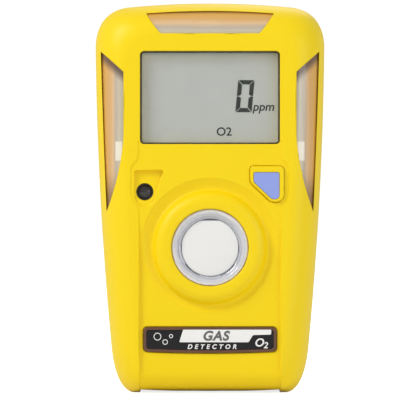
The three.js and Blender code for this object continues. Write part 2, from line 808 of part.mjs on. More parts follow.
function addDisplay() {
  place("display_lens", displayLens(), "window");
  place("display_adhesive", displayAdhesive(), "adhesive");
  place("display_glass", block(-16.8, 16.8, -15.4, -13.4, 54.2, 76.5), "crystal");
  place("display_frame", displayFrame(), "frame");
  place("contact_strip_upper", block(-14, 14, -13.35, BOARD.front, 74.4, 76.1), "seal");
  place("contact_strip_lower", block(-14, 14, -13.35, BOARD.front, 54.6, 56.3), "seal");
}

function ledGeometry(halfWidth, halfHeight) {
  const body = solid(block(-halfWidth, halfWidth, -15.2, BOARD.front, -halfHeight, halfHeight));
  const cup = solid(block(0.25 - halfWidth, halfWidth - 0.25, -16, -14.9, 0.25 - halfHeight, halfHeight - 0.25));
  return geometryOf(cut(body, cup));
}

function addAlarmLights() {
  place("alarm_lens_top", alarmLens(topWindow(0.12)), "amber");
  place("alarm_lens_left", alarmLens(sideWindow(-1, 0.12)), "amber");
  place("alarm_lens_right", alarmLens(sideWindow(1, 0.12)), "amber");
  place("alarm_led_top", ledGeometry(2.15, 0.6), "led", { z: 82 });
  place("alarm_led_left", ledGeometry(0.6, 2.15), "led", { x: -20.15, z: 54 });
  place("alarm_led_right", ledGeometry(0.6, 2.15), "led", { x: 20.15, z: 54 });
}

function addButton() {
  place("button_cap", buttonCap(), "shell");
  place("button_inlay", slice(inlayOutline(0), -19.72, -19.2), "blue");
  const at = { x: BUTTON.x, z: BUTTON.z };
  const body = cut(solid(block(-2.4, 2.4, -14, BOARD.front, -2.4, 2.4)), solid(barY(1.2, -15, -12.6, 0, 0, 20)));
  place("switch_body", geometryOf(body), "black", at);
  place("switch_plunger", barY(1.05, BUTTON.stem + 0.05, -13.2, 0, 0, 20), "frame", at);
}

function addSounder() {
  const at = { x: PORT.x, z: PORT.z };
  place("sounder_port", sounderCup(), "black", at);
  place("sounder_gasket", ring(3.1, 1.5, CAVITY_FRONT + 0.05, -15.55, 28), "seal", at);
  place("sounder_body", sounderBody(), "black", at);
}

function addSensor() {
  const stack = new THREE.Group();
  stack.position.z = SENSOR.z;
  detector.add(stack);
  place("sensor_retainer", sensorRetainer(), "clear", {}, stack);
  place("sensor_filter", filterDisc(), "filter", {}, stack);
  const oRing = new THREE.TorusGeometry(8.2, 0.33, 8, 32).rotateX(Math.PI / 2);
  place("sensor_o_ring", oRing, "seal", { y: -17.25 }, stack);
  place("sensor_cell", sensorCell(), "cell", {}, stack);
  PINS.forEach(({ x, z }, i) => {
    place(`sensor_pin_${i + 1}`, barY(0.75, -3.9, -1.6, 0, 0, 16), "gold", { x, z }, stack);
  });
  place("sensor_board", sensorBoard(), "board");
}

function addElectronics() {
  place("main_board", mainBoard(), "board");
  place("processor", block(-8, 1, BOARD.back, BOARD.back + 1.1, 44.8, 53.4), "black", { x: -7 });
  place("board_header", block(-4, 4, BOARD.back, SENSOR_BOARD.front, 45, 47.6), "black");
  BOARD_SCREWS.forEach(({ x, z }, i) => {
    const screw = screwGeometry({ head: 1.6, shank: 0.65, length: 5, seat: BOARD.back + 0.05, socket: 0.6 });
    place(`board_screw_${i + 1}`, screw, "steel", { x, z });
  });
  const { y, z } = BATTERY;
  place("battery_cell", batteryCell(), "wrap", { y, z });
  place("battery_tab_positive", batteryTab(), "gold", { z });
  const negative = batteryTab().rotateY(Math.PI);
  place("battery_tab_negative", negative, "gold", { z });
}

function addVibrationAlarm() {
  const { y, z } = MOTOR;
  place("motor_cradle", motorCradle(), "seal");
  place("motor_can", motorCan(), "steel", { y, z });
  place("motor_shaft", barX(MOTOR.shaft, -1, 8, 0, 0, 14), "steel", { y, z });
  place("vibration_weight", vibrationWeight(), "steel", { y, z });
}

function addClip() {
  place("clip_base", clipBase(), "steel");
  place("clip_jaw", clipJaw(), "steel");
  place("clip_pin", clipPin(), "steel", { y: CLIP.y, z: CLIP.z });
  place("clip_spring", clipSpring(), "steel", { y: CLIP.y, z: CLIP.z });
  const screw = screwGeometry({ head: 2.4, shank: 1.05, length: 5.9, seat: BACK + CLIP.plate + 0.05, socket: 0.9 });
  place("clip_screw", screw, "steel", { z: CLIP.screwZ });
}

addHousing();
addDisplay();
addAlarmLights();
addButton();
addSounder();
addSensor();
addElectronics();
addVibrationAlarm();
addClip();

export default detector;
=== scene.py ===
import math

import bmesh
import bpy
from mathutils import Matrix, Vector
from mathutils.geometry import interpolate_bezier


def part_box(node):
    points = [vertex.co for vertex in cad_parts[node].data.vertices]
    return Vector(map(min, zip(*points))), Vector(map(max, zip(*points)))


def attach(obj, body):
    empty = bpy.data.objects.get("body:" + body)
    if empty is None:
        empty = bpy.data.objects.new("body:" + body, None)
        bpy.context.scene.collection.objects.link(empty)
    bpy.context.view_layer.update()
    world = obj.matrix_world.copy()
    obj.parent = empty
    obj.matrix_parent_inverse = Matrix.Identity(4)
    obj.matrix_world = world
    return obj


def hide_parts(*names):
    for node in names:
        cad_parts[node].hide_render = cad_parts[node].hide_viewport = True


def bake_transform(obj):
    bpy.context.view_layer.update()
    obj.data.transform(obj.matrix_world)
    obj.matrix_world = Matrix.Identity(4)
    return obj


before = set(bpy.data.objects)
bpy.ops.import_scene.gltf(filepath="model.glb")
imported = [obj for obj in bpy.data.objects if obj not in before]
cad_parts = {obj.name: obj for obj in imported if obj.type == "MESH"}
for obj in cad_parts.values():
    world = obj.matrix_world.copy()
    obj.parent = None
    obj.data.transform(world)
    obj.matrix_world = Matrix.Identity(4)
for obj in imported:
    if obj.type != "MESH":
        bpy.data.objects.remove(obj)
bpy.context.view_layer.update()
print("frame loaded:", len(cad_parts), "nodes")

# Meshes are modelled in millimetres and become metres when they turn into objects.
toMetres = 0.001


def inMetres(values):
    return tuple(value * toMetres for value in values)


def nodeBox(node):
    low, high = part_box(node)
    return low / toMetres, high / toMetres


def nodeCentre(node):
    low, high = nodeBox(node)
    return (low + high) / 2


sensorCentre = nodeCentre("sensor_cell")
clipScrew = nodeCentre("clip_screw")
shellScrews = [nodeCentre(f"shell_screw_{i}") for i in (1, 2, 3, 4)]


def addObject(name, data):
    thing = bpy.data.objects.new(name, data)
    bpy.context.scene.collection.objects.link(thing)
    return thing


def meshObject(bm, name):
    mesh = bpy.data.meshes.new(name)
    bm.to_mesh(mesh)
    bm.free()
    return addObject(name, mesh)


def evaluated(thing):
    # what the object's modifiers or its curve make of it
    bpy.context.view_layer.update()
    graph = bpy.context.evaluated_depsgraph_get()
    mesh = bpy.data.meshes.new_from_object(thing.evaluated_get(graph))
    bm = bmesh.new()
    bm.from_mesh(mesh)
    bpy.data.meshes.remove(mesh)
    return bm


def feed(tree, node, inputs):
    # each input takes a plain value or a link from an output
    for key, value in inputs.items():
        if isinstance(value, bpy.types.NodeSocket):
            tree.links.new(value, node.inputs[key])
        else:
            node.inputs[key].default_value = value


def addNode(tree, kind, inputs=None, **settings):
    node = tree.nodes.new("ShaderNode" + kind)
    for key, value in settings.items():
        setattr(node, key, value)
    feed(tree, node, inputs or {})
    return node


def maths(tree, operation, *values, clamp=False):
    return addNode(tree, "Math", dict(enumerate(values)), operation=operation, use_clamp=clamp).outputs[0]


def vectors(tree, operation, *values):
    return addNode(tree, "VectorMath", dict(enumerate(values)), operation=operation).outputs[0]


def objectPlace(tree):
    return addNode(tree, "TexCoord").outputs["Object"]


def axesOf(tree, place):
    return addNode(tree, "SeparateXYZ", {0: place}).outputs


def noiseOf(tree, place, scale, detail, roughness=0.5, distortion=0.0):
    values = {"Vector": place, "Scale": scale, "Detail": detail, "Roughness": roughness, "Distortion": distortion}
    return addNode(tree, "TexNoise", values).outputs["Fac"]


def mixed(tree, share, first, second, blend="MIX"):
    values = {"Factor": share, "A": first, "B": second}
    return addNode(tree, "Mix", values, data_type="RGBA", blend_type=blend).outputs["Result"]


def rangeOf(tree, source, start, end, low=0.0, high=1.0, kind="SMOOTHSTEP"):
    values = {"Value": source, "From Min": start, "From Max": end, "To Min": low, "To Max": high}
    return addNode(tree, "MapRange", values, interpolation_type=kind).outputs["Result"]


def rampOf(tree, source, stops):
    ramp = addNode(tree, "ValToRGB", {"Fac": source})
    elements = ramp.color_ramp.elements
    while len(elements) < len(stops):
        elements.new(0.5)
    for element, (position, colour) in zip(elements, stops):
        element.position = position
        element.color = (*colour, 1)
    return ramp.outputs["Color"]


def newMaterial(name):
    material = bpy.data.materials.new(name)
    material.use_nodes = True
    tree = material.node_tree
    return material, tree, tree.nodes["Principled BSDF"]


camera = {
    "viewHeight": 0.0428,   # level with the middle of the detector
    "distance": 0.95,
    "frameWidth": 0.0894,   # what the picture spans at the widest part of the body
    "widestDepth": -0.007,
    "shiftX": -0.025,
    "sensor": 36,
}

lights = {
    "key": {"place": (-0.55, -0.38, 0.56), "size": 0.32, "watts": 3.3, "tint": (1.0, 0.985, 0.96)},
    "fill": {"place": (0.6, -0.5, 0.12), "size": 0.5, "watts": 1.7, "tint": (0.96, 0.98, 1.0)},
    "rim": {"place": (0.15, 0.6, 0.6), "size": 0.4, "watts": 0.9, "tint": (1.0, 1.0, 1.0)},
    "aim": (0, 0, 0.045),
    "world": 0.54,
    "backdrop": 1.05,       # the world as the camera sees it
    "floorGlow": 0.8,
}


def makeCamera():
    data = bpy.data.cameras.new("camera")
    data.sensor_width = camera["sensor"]
    data.lens = camera["sensor"] * camera["distance"] / camera["frameWidth"]
    data.shift_x = camera["shiftX"]
    data.clip_start = 0.05
    data.clip_end = 20
    thing = addObject("camera", data)
    thing.location = (0, camera["widestDepth"] - camera["distance"], camera["viewHeight"])
    thing.rotation_euler = (math.pi / 2, 0, 0)
    bpy.context.scene.camera = thing


def makeLight(name):
    values = lights[name]
    data = bpy.data.lights.new(name, "AREA")
    data.size = values["size"]
    data.energy = values["watts"]
    data.color = values["tint"]
    thing = addObject(name, data)
    thing.location = values["place"]
    direction = Vector(lights["aim"]) - Vector(values["place"])
    thing.rotation_euler = direction.to_track_quat("-Z", "Y").to_euler()


def cameraRay(tree):
    return addNode(tree, "LightPath").outputs["Is Camera Ray"]


def makeWorld():
    world = bpy.data.worlds.new("studio")
    world.use_nodes = True
    tree = world.node_tree
    tree.nodes.clear()
    lit, seen = [
        addNode(tree, "Background", {"Color": (1, 1, 1, 1), "Strength": lights[key]}).outputs[0]
        for key in ("world", "backdrop")
    ]
    mix = addNode(tree, "MixShader", {0: cameraRay(tree), 1: lit, 2: seen})
    addNode(tree, "OutputWorld", {"Surface": mix.outputs[0]})
    bpy.context.scene.world = world


def makeFloor():
    bm = bmesh.new()
    bmesh.ops.create_grid(bm, x_segments=1, y_segments=1, size=4)
    floor = meshObject(bm, "floor")
    material, tree, shader = newMaterial("paleFloor")
    feed(tree, shader, {
        "Base Color": (0.9, 0.9, 0.9, 1), "Roughness": 0.9, "Specular IOR Level": 0.1,
        "Emission Color": (1, 1, 1, 1),
        "Emission Strength": maths(tree, "MULTIPLY", cameraRay(tree), lights["floorGlow"]),
    })
    floor.data.materials.append(material)


makeCamera()
for lightName in ("key", "fill", "rim"):
    makeLight(lightName)
makeWorld()
makeFloor()
bpy.context.scene.view_settings.view_transform = "Standard"
bpy.context.scene.view_settings.look = "None"
print("studio ready")


def vertsOf(geometry):
    return [item for item in geometry if isinstance(item, bmesh.types.BMVert)]


def plate(corners, near, far, along="Y", segments=8):
    # a solid from a flat outline: (across, up) corners, some with the radius that rounds them
    bm = bmesh.new()
    verts = []
    for across, up, *_ in corners:
        verts.append(bm.verts.new((across, near, up) if along == "Y" else (near, across, up)))
    bm.faces.new(verts)
    for vert, (_, _, *radius) in zip(verts, corners):
        if any(radius):
            bmesh.ops.bevel(bm, geom=[vert], offset=radius[0], offset_type="OFFSET", affect="VERTICES",
                            segments=segments, profile=0.5, material=-1, clamp_overlap=True)
    step = (0, far - near, 0) if along == "Y" else (far - near, 0, 0)
    made = bmesh.ops.extrude_face_region(bm, geom=bm.faces[:])["geom"]
    bmesh.ops.translate(bm, vec=step, verts=vertsOf(made))
    bmesh.ops.recalc_face_normals(bm, faces=bm.faces)
    return bm


def oblong(x0, x1, z0, z1, radius=0):
    return [(x0, z0, radius), (x1, z0, radius), (x1, z1, radius), (x0, z1, radius)]


def box(x0, x1, y0, y1, z0, z1):
    return plate(oblong(x0, x1, z0, z1), y0, y1)


def shifted(bm, x, y, z):
    bmesh.ops.translate(bm, vec=(x, y, z), verts=bm.verts)
    return bm


def turned(bm, angle, axis):
    bmesh.ops.rotate(bm, cent=(0, 0, 0), matrix=Matrix.Rotation(angle, 3, axis), verts=bm.verts)
    return bm


def spun(profile, x=0.0, z=0.0, segments=96, closed=False):
    # turns (radius, depth) pairs about an axis along Y
    bm = bmesh.new()
    verts = [bm.verts.new((radius, depth, 0)) for radius, depth in profile]
    edges = [bm.edges.new(pair) for pair in zip(verts, verts[1:])]
    if closed:
        edges.append(bm.edges.new((verts[-1], verts[0])))
    bmesh.ops.spin(bm, geom=verts + edges, cent=(0, 0, 0), axis=(0, 1, 0), dvec=(0, 0, 0),
                   angle=2 * math.pi, steps=segments, use_merge=True, use_duplicate=False)
    bmesh.ops.remove_doubles(bm, verts=bm.verts, dist=1e-4)
    bmesh.ops.recalc_face_normals(bm, faces=bm.faces)
    return shifted(bm, x, 0, z)


def bar(radius, start, end):
    return [(0, start), (radius, start), (radius, end), (0, end)]


def barY(radius, near, far, x, z, segments=64):
    return spun(bar(radius, near, far), x, z, segments)


def spunX(profile, y, z, segments):
    # the same about an axis along X
    return shifted(turned(spun(profile, segments=segments), -math.pi / 2, "Z"), 0, y, z)


def carved(base, tools, operation="DIFFERENCE"):
    # cuts each tool out of the base, or joins it on, and gives a new bmesh back
    target = meshObject(base, "carving")
    held = [meshObject(tool, "tool") for tool in tools]
    for tool in held:
        modifier = target.modifiers.new("carve", "BOOLEAN")
        modifier.operation = operation
        modifier.solver = "EXACT"
        modifier.object = tool
    result = evaluated(target)
    for thing in [target, *held]:
        old = thing.data
        bpy.data.objects.remove(thing)
        bpy.data.meshes.remove(old)
    return result


def joined(base, *tools):
    return carved(base, tools, "UNION")


def parted(bm, planes, area=12.0):
    # splits the large flat faces that hold openings, so each one is a plain polygon
    for place, direction in planes:
        flat = [face for face in bm.faces if abs(face.normal.y) > 0.999 and face.calc_area() > area]
        geometry = set(flat)
        for face in flat:
            geometry.update(face.edges)
            geometry.update(face.verts)
        bmesh.ops.bisect_plane(bm, geom=list(geometry), plane_co=place, plane_no=direction, dist=1e-4)
    return bm


def tidied(bm, short=0.002):
    # merges what lies closer together than the shortest edge wanted
    bmesh.ops.remove_doubles(bm, verts=bm.verts, dist=short)
    bmesh.ops.dissolve_degenerate(bm, edges=bm.edges, dist=0.002)
    return bm


def markEdges(bm, angle, leave):
    # sharp edges get rounded by the bevel, but for the ones to leave, which stay crisp
    weight = bm.edges.layers.float.new("bevel_weight_edge")
    for edge in bm.edges:
        if len(edge.link_faces) != 2 or edge.calc_face_angle(0) < math.radians(angle):
            continue
        if leave and leave((edge.verts[0].co + edge.verts[1].co) / 2):
            edge.smooth = False
        else:
            edge[weight] = 1.0


def asPiece(bm, name, material, stands=(), body="housing", edge=0.0, angle=32, leave=None):
    # the finished mesh as an object that rides on its body, with its sharp edges rounded
    bm.normal_update()
    if edge:
        markEdges(bm, angle, leave)
    bmesh.ops.scale(bm, vec=(toMetres,) * 3, verts=bm.verts)
    thing = meshObject(bm, name)
    thing.data.materials.append(materials[material])
    for polygon in thing.data.polygons:
        polygon.use_smooth = True
    if edge:
        bevel = thing.modifiers.new("edges", "BEVEL")
        bevel.width = edge * toMetres
        bevel.segments = 3
        bevel.limit_method = "WEIGHT"
        bevel.use_clamp_overlap = False
        bevel.miter_outer = "MITER_SHARP"
    else:
        thing.data.set_sharp_from_angle(angle=math.radians(angle))
    weighted = thing.modifiers.new("normals", "WEIGHTED_NORMAL")
    weighted.keep_sharp = True
    weighted.weight = 60
    if body:
        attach(thing, body)
    if stands:
        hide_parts(*stands)
    return thing


def newGroup(name, inputs):
    # the kind of each input follows from its value
    group = bpy.data.node_groups.new(name, "ShaderNodeTree")
    for key, value in inputs.items():
        kind = "Float" if isinstance(value, float) else {4: "Color", 3: "Vector"}[len(value)]
        socket = group.interface.new_socket(name=key, in_out="INPUT", socket_type="NodeSocket" + kind)
        socket.default_value = value
    for key, kind in (("Colour", "Color"), ("Roughness", "Float"), ("Normal", "Vector")):
        group.interface.new_socket(name=key, in_out="OUTPUT", socket_type="NodeSocket" + kind)
    return group, group.nodes.new("NodeGroupInput").outputs


def endGroup(group, colour, roughness, height, strength, distance):
    bump = addNode(group, "Bump", {"Height": height, "Strength": strength, "Distance": distance})
    feed(group, group.nodes.new("NodeGroupOutput"), {
        "Colour": colour, "Roughness": roughness, "Normal": bump.outputs["Normal"],
    })
    return group


def makeMouldedGroup():
    # moulded plastic: faint flow marks in the colour, uneven gloss and a fine spark-eroded grain
    group, given = newGroup("mouldedPlastic", {
        "Colour": (0.8, 0.8, 0.8, 1), "Deep Colour": (0.6, 0.6, 0.6, 1), "Flow Scale": 60.0, "Flow Strength": 0.2,
        "Gloss": 0.4, "Gloss Spread": 0.1, "Grain Scale": 4000.0, "Grain Height": 0.2,
    })
    place = objectPlace(group)
    flow = noiseOf(group, place, given["Flow Scale"], 4.0, 0.6, 0.6)
    share = maths(group, "MULTIPLY", flow, given["Flow Strength"], clamp=True)
    tint = mixed(group, share, given["Colour"], given["Deep Colour"])
    grain = noiseOf(group, place, given["Grain Scale"], 3.0, 0.65)
    uneven = maths(group, "SUBTRACT", grain, 0.5)
    gloss = maths(group, "MULTIPLY_ADD", uneven, given["Gloss Spread"], given["Gloss"], clamp=True)
    return endGroup(group, tint, gloss, grain, given["Grain Height"], 0.00003)


def makeBrushedGroup():
    # metal drawn through rolls: fine streaks along one axis, with a few handling marks
    group, given = newGroup("brushedMetal", {
        "Colour": (0.6, 0.6, 0.6, 1), "Mark Colour": (0.4, 0.4, 0.4, 1), "Stretch": (4000.0, 4000.0, 60.0),
        "Gloss": 0.28, "Gloss Spread": 0.15, "Streak Height": 0.15,
    })
    place = objectPlace(group)
    streaks = noiseOf(group, vectors(group, "MULTIPLY", place, given["Stretch"]), 1.0, 2.0)
    marks = rangeOf(group, noiseOf(group, place, 900.0, 5.0, 0.7), 0.5, 0.75, kind="LINEAR")
    tint = mixed(group, marks, given["Colour"], given["Mark Colour"])
    gloss = maths(group, "MULTIPLY_ADD", streaks, given["Gloss Spread"], given["Gloss"], clamp=True)
    return endGroup(group, tint, gloss, streaks, given["Streak Height"], 0.00001)


# name, colour, deep colour, values in the order of plasticKeys, and the shader's own inputs
plasticKeys = (
    "Colour", "Deep Colour", "Flow Scale", "Flow Strength", "Gloss", "Gloss Spread", "Grain Scale", "Grain Height",
)
plastics = {
    "yellow": ("yellowMoulding", (0.945, 0.70, 0.004), (0.94, 0.66, 0.002), (55, 0.5, 0.42, 0.16, 5200, 0.22),
               {"Specular IOR Level": 0.28}),
    "seal": ("blackSeal", (0.02, 0.02, 0.022), (0.035, 0.033, 0.03), (60, 0.6, 0.7, 0.1, 3000, 0.3)),
    "black": ("blackMoulding", (0.012, 0.011, 0.011), (0.03, 0.028, 0.026), (60, 0.4, 0.3, 0.1, 4000, 0.15)),
    "glossBlack": ("sounderBlack", (0.012, 0.009, 0.006), (0.03, 0.024, 0.012), (60, 0.5, 0.22, 0.1, 2500, 0.1),
                   {"Coat Weight": 0.7, "Coat Roughness": 0.08}),
    "blue": ("blueInlay", (0.30, 0.38, 0.82), (0.24, 0.31, 0.74), (140, 0.4, 0.42, 0.1, 5200, 0.2)),
    "white": ("whiteCase", (0.82, 0.82, 0.82), (0.7, 0.7, 0.72), (60, 0.4, 0.4, 0.1, 4200, 0.15)),
    "lamp": ("lampBody", (0.92, 0.9, 0.82), (0.85, 0.8, 0.7), (60, 0.3, 0.3, 0.1, 5000, 0.05),
             {"Emission Color": (1.0, 0.97, 0.88, 1), "Emission Strength": 0.9}),
    "board": ("circuitBoard", (0.01, 0.13, 0.04), (0.005, 0.08, 0.03), (400, 0.8, 0.35, 0.1, 1500, 0.3),
              {"Coat Weight": 0.5, "Coat Roughness": 0.2}),
    "wrap": ("cellSleeve", (0.02, 0.26, 0.11), (0.015, 0.2, 0.09), (60, 0.5, 0.3, 0.1, 900, 0.2),
             {"Coat Weight": 0.4}),
    "paper": ("labelPaper", (0.68, 0.69, 0.67), (0.6, 0.61, 0.6), (300, 0.5, 0.45, 0.1, 3500, 0.25)),
    "ink": ("darkInk", (0.016, 0.019, 0.015), (0.026, 0.03, 0.024), (60, 0.5, 0.5, 0.1, 3000, 0.05),
            {"Specular IOR Level": 0.2}),
    "whiteInk": ("whiteInk", (0.9, 0.9, 0.9), (0.82, 0.82, 0.82), (60, 0.3, 0.35, 0.1, 3000, 0.05)),
    "greyInk": ("greyInk", (0.12, 0.12, 0.125), (0.16, 0.16, 0.165), (60, 0.3, 0.35, 0.1, 3000, 0.05)),
    "plateBlack": ("plateBlack", (0.006, 0.006, 0.008), (0.012, 0.012, 0.015), (60, 0.5, 0.22, 0.1, 2500, 0.05),
                   {"Coat Weight": 0.1, "Coat Roughness": 0.08, "Specular IOR Level": 0.3}),
    "plateRim": ("plateRim", (0.13, 0.045, 0.015), (0.08, 0.03, 0.012), (60, 0.6, 0.3, 0.1, 2500, 0.1),
                 {"Coat Weight": 0.6, "Coat Roughness": 0.1}),
    "membrane": ("membrane", (0.86, 0.86, 0.85), (0.74, 0.74, 0.75), (500, 0.25, 0.35, 0.1, 2600, 0.25),
                 {"Coat Weight": 0.35, "Coat Roughness": 0.12}),
}

metalKeys = ("Colour", "Mark Colour", "Gloss", "Gloss Spread")
metals = {
    "steel": ("nickelSteel", (0.62, 0.62, 0.61), (0.53, 0.53, 0.52), (0.2, 0.16)),
    "screw": ("screwSteel", (0.55, 0.55, 0.56), (0.35, 0.35, 0.36), (0.22, 0.15)),
    "gold": ("goldPlating", (0.83, 0.6, 0.24), (0.6, 0.42, 0.18), (0.2, 0.15)),
}


def groupMaterial(group, keys, name, colour, second, values, inputs=None):
    material, tree, shader = newMaterial(name)
    node = addNode(tree, "Group", node_tree=group)
    feed(tree, node, dict(zip(keys, [(*colour, 1), (*second, 1), *values])))
    feed(tree, shader, {"Base Color": node.outputs["Colour"], **(inputs or {})})
    feed(tree, shader, {key: node.outputs[key] for key in ("Roughness", "Normal")})
    return material


def makeWindowMaterial():
    # clear window that shows what is behind it, with a gloss over it
    material, tree, shader = newMaterial("clearWindow")
    ripple = noiseOf(tree, objectPlace(tree), 700.0, 2.0)
    feed(tree, shader, {
        "Base Color": (0.4, 0.44, 0.42, 1), "Alpha": 0.04, "Specular IOR Level": 0.25,
        "Roughness": rangeOf(tree, ripple, 0.0, 1.0, 0.05, 0.12, "LINEAR"),
    })
    return material


# lengths in metres, as the shader meets them
crystalShades = {
    "sides": (0.0146, 0.0156, 0.0, 0.45),
    "top": (0.0744, 0.0759, 0.0, 0.85),
    "bottom": (0.0559, 0.0552, 0.0, 0.25),
    "grid": {
        "Color1": (1, 1, 1, 1), "Color2": (0.97, 0.975, 0.97, 1), "Mortar": (0.955, 0.96, 0.955, 1), "Scale": 1.0,
        "Mortar Size": 0.00006, "Brick Width": 0.0026, "Row Height": 0.0034, "Mortar Smooth": 0.5,
    },
}


def makeCrystalMaterial():
    # liquid crystal: grey-green, shaded by the frame along its edges, with the faint grid of its electrodes
    material, tree, shader = newMaterial("liquidCrystal")
    w = crystalShades
    parts = axesOf(tree, objectPlace(tree))
    shade = rangeOf(tree, maths(tree, "ABSOLUTE", parts["X"]), *w["sides"])
    for key in ("top", "bottom"):
        shade = maths(tree, "MAXIMUM", shade, rangeOf(tree, parts["Z"], *w[key]))
    tint = mixed(tree, shade, (0.51, 0.53, 0.505, 1), (0.15, 0.21, 0.23, 1))
    flat = addNode(tree, "CombineXYZ", {"X": parts["X"], "Y": parts["Z"]})
    grid = addNode(tree, "TexBrick", {"Vector": flat.outputs[0], **w["grid"]}, offset=0.0)
    feed(tree, shader, {
        "Base Color": mixed(tree, 1.0, tint, grid.outputs["Color"], "MULTIPLY"),
        "Roughness": 0.3, "Specular IOR Level": 0.35,
    })
    return material


# colours of the clear ring by radius: the dark inner bands are painted shade in its depth, the bright band near the rim
# is a painted highlight and the darker outer edge is painted shade
ringBandsShadeAndHighlight = [
    (0.0, (0.38, 0.39, 0.45)), (0.1, (0.60, 0.61, 0.66)), (0.2, (0.42, 0.43, 0.50)), (0.38, (0.64, 0.65, 0.69)),
    (0.6, (0.60, 0.60, 0.63)), (0.8, (0.80, 0.79, 0.83)), (0.92, (0.66, 0.62, 0.68)), (1.0, (0.52, 0.47, 0.54)),
]


def makeRingMaterial():
    # clear plastic seen over the parts behind it: bands around the disc, with painted shade in its depth and a painted
    # highlight near its rim, broken up by painted reflections that also vary the gloss
    material, tree, shader = newMaterial("clearRing")
    place = objectPlace(tree)
    away = vectors(tree, "SUBTRACT", place, inMetres(sensorCentre))
    flat = vectors(tree, "MULTIPLY", away, (1, 0, 1))
    reach = addNode(tree, "VectorMath", {0: flat}, operation="LENGTH").outputs["Value"]
    # noise that shifts the bands as painted reflections and varies the gloss
    paintedGlintNoise = noiseOf(tree, place, 330.0, 3.0, 0.6, 0.8)
    moved = maths(tree, "MULTIPLY_ADD", paintedGlintNoise, 0.0011, reach)
    feed(tree, shader, {
        "Base Color": rampOf(tree, rangeOf(tree, moved, 0.00695, 0.00905, kind="LINEAR"), ringBandsShadeAndHighlight),
        "Roughness": rangeOf(tree, paintedGlintNoise, 0.3, 0.7, 0.08, 0.26),
        "Coat Weight": 0.5, "Coat Roughness": 0.08, "Specular IOR Level": 0.5,
    })
    return material


amber = {
    # the dark brown first stops, at the outer rim, are painted shade
    "tones": [
        (0.0, (0.20, 0.10, 0.05)), (0.16, (0.46, 0.25, 0.11)), (0.3, (0.82, 0.46, 0.09)), (0.5, (0.80, 0.47, 0.18)),
        (0.62, (0.84, 0.57, 0.31)), (0.76, (0.58, 0.49, 0.38)), (0.9, (0.66, 0.60, 0.46)), (1.0, (0.60, 0.54, 0.40)),
    ],
    "shade": (0.14, 0.08, 0.06, 1),
    "lamp": (0.93, 0.88, 0.74, 1),
    "surface": {
        "Roughness": 0.16, "Coat Weight": 0.4, "Coat Roughness": 0.05, "Specular IOR Level": 0.45, "Alpha": 0.88,
    },
}


def bandedLens(name, axis, outer, inner, shadows, lamp=None):
    # amber lens with bands of colour from its thick rim to its thin edge, darkest at the rim as painted shade, and
    # painted shade where the shell covers it
    # shadows: (lean against the outward distance, start, end, strength), lengths in millimetres
    material, tree, shader = newMaterial(name)
    place = objectPlace(tree)
    parts = axesOf(tree, place)
    across = maths(tree, "ABSOLUTE", parts[axis])
    stretch = (1300, 200, 60) if axis == "X" else (60, 200, 1300)
    streaks = noiseOf(tree, vectors(tree, "MULTIPLY", place, stretch), 1.0, 3.0, 0.55)
    depth = rangeOf(tree, across, outer * toMetres, inner * toMetres, kind="LINEAR")
    colour = rampOf(tree, maths(tree, "MULTIPLY_ADD", streaks, 0.2, depth), amber["tones"])
    for lean, start, end, strength in shadows:
        height = maths(tree, "MULTIPLY_ADD", across, lean, parts["Z"])
        share = rangeOf(tree, height, start * toMetres, end * toMetres, 0.0, strength)
        colour = mixed(tree, share, colour, amber["shade"])
    if lamp:
        away = vectors(tree, "SUBTRACT", place, inMetres(lamp["place"]))
        size = (1 / (lamp["across"] * toMetres), 0, 1 / (lamp["up"] * toMetres))
        sides = axesOf(tree, vectors(tree, "MULTIPLY", away, size))
        reaches = [rangeOf(tree, maths(tree, "ABSOLUTE", sides[side]), 0.88, 1.12, 1.0, 0.0) for side in ("X", "Z")]
        colour = mixed(tree, maths(tree, "MULTIPLY", *reaches), colour, amber["lamp"])
    feed(tree, shader, {"Base Color": colour, **amber["surface"]})
    return material


mouldedGroup = makeMouldedGroup()
brushedGroup = makeBrushedGroup()
materials = {key: groupMaterial(mouldedGroup, plasticKeys, *row) for key, row in plastics.items()}
for key, row in metals.items():
    materials[key] = groupMaterial(brushedGroup, metalKeys, *row, {"Metallic": 1.0})
materials["window"] = makeWindowMaterial()
materials["ring"] = makeRingMaterial()
materials["crystal"] = makeCrystalMaterial()
print("materials ready")


body = {
    "foot": (17.0, 0.0),
    "footHandles": ((19.4, 0.2), (21.2, 3.4)),
    "hip": (21.9, 9.3),
    "waist": (25.1, 42.8),
    "shoulder": (25.5, 76.3),
    "shoulderHandles": ((25.6, 81.0), (23.6, 85.0)),
    "temple": (18.3, 85.7),
    "crown": 86.6,
    "face": -19.3,
    "flankFront": -9.3,
    "flankBack": 2.5,
    "frontRound": 7.0,
    "backRound": 3.0,
    "footShare": 0.6,
    "wall": 2.0,
}
rear = nodeBox("rear_shell")[1].y
splitFront = nodeBox("front_shell")[1].y
splitRear = nodeBox("rear_shell")[0].y


def curvePoints(start, handleA, handleB, end, steps):
    found = interpolate_bezier(Vector(start), Vector(handleA), Vector(handleB), Vector(end), steps + 1)
    return [(point.x, point.y) for point in found[1:]]


def bentPoints(start, control, end, steps):
    # one control point pulls the line, as a quadratic curve does
    a, c, b = Vector(start), Vector(control), Vector(end)
    return curvePoints(a, a + (c - a) * 2 / 3, b + (c - b) * 2 / 3, b, steps)


def bodyOutline(steps=18):
    right = [body["foot"]]
    right += curvePoints(body["foot"], *body["footHandles"], body["hip"], steps)
    right += bentPoints(body["hip"], body["waist"], body["shoulder"], steps)
    right += curvePoints(body["shoulder"], *body["shoulderHandles"], body["temple"], steps)
    right += bentPoints(body["temple"], (body["temple"][0] / 2, body["crown"]), (0, body["crown"]), steps // 2)
    return right + [(-x, z) for x, z in right[-2::-1]]


def levelMatrix(depth, inset, rounding):
    # draws the outline in from its sides, and a little less from its foot
    low = inset + rounding * body["footShare"]
    high = body["crown"] - inset - rounding
    across = 1 - (inset + rounding) / body["shoulder"][0]
    up = (high - low) / body["crown"]
    return Matrix.Translation((0, depth, low)) @ Matrix.Diagonal((across, 1, up, 1))


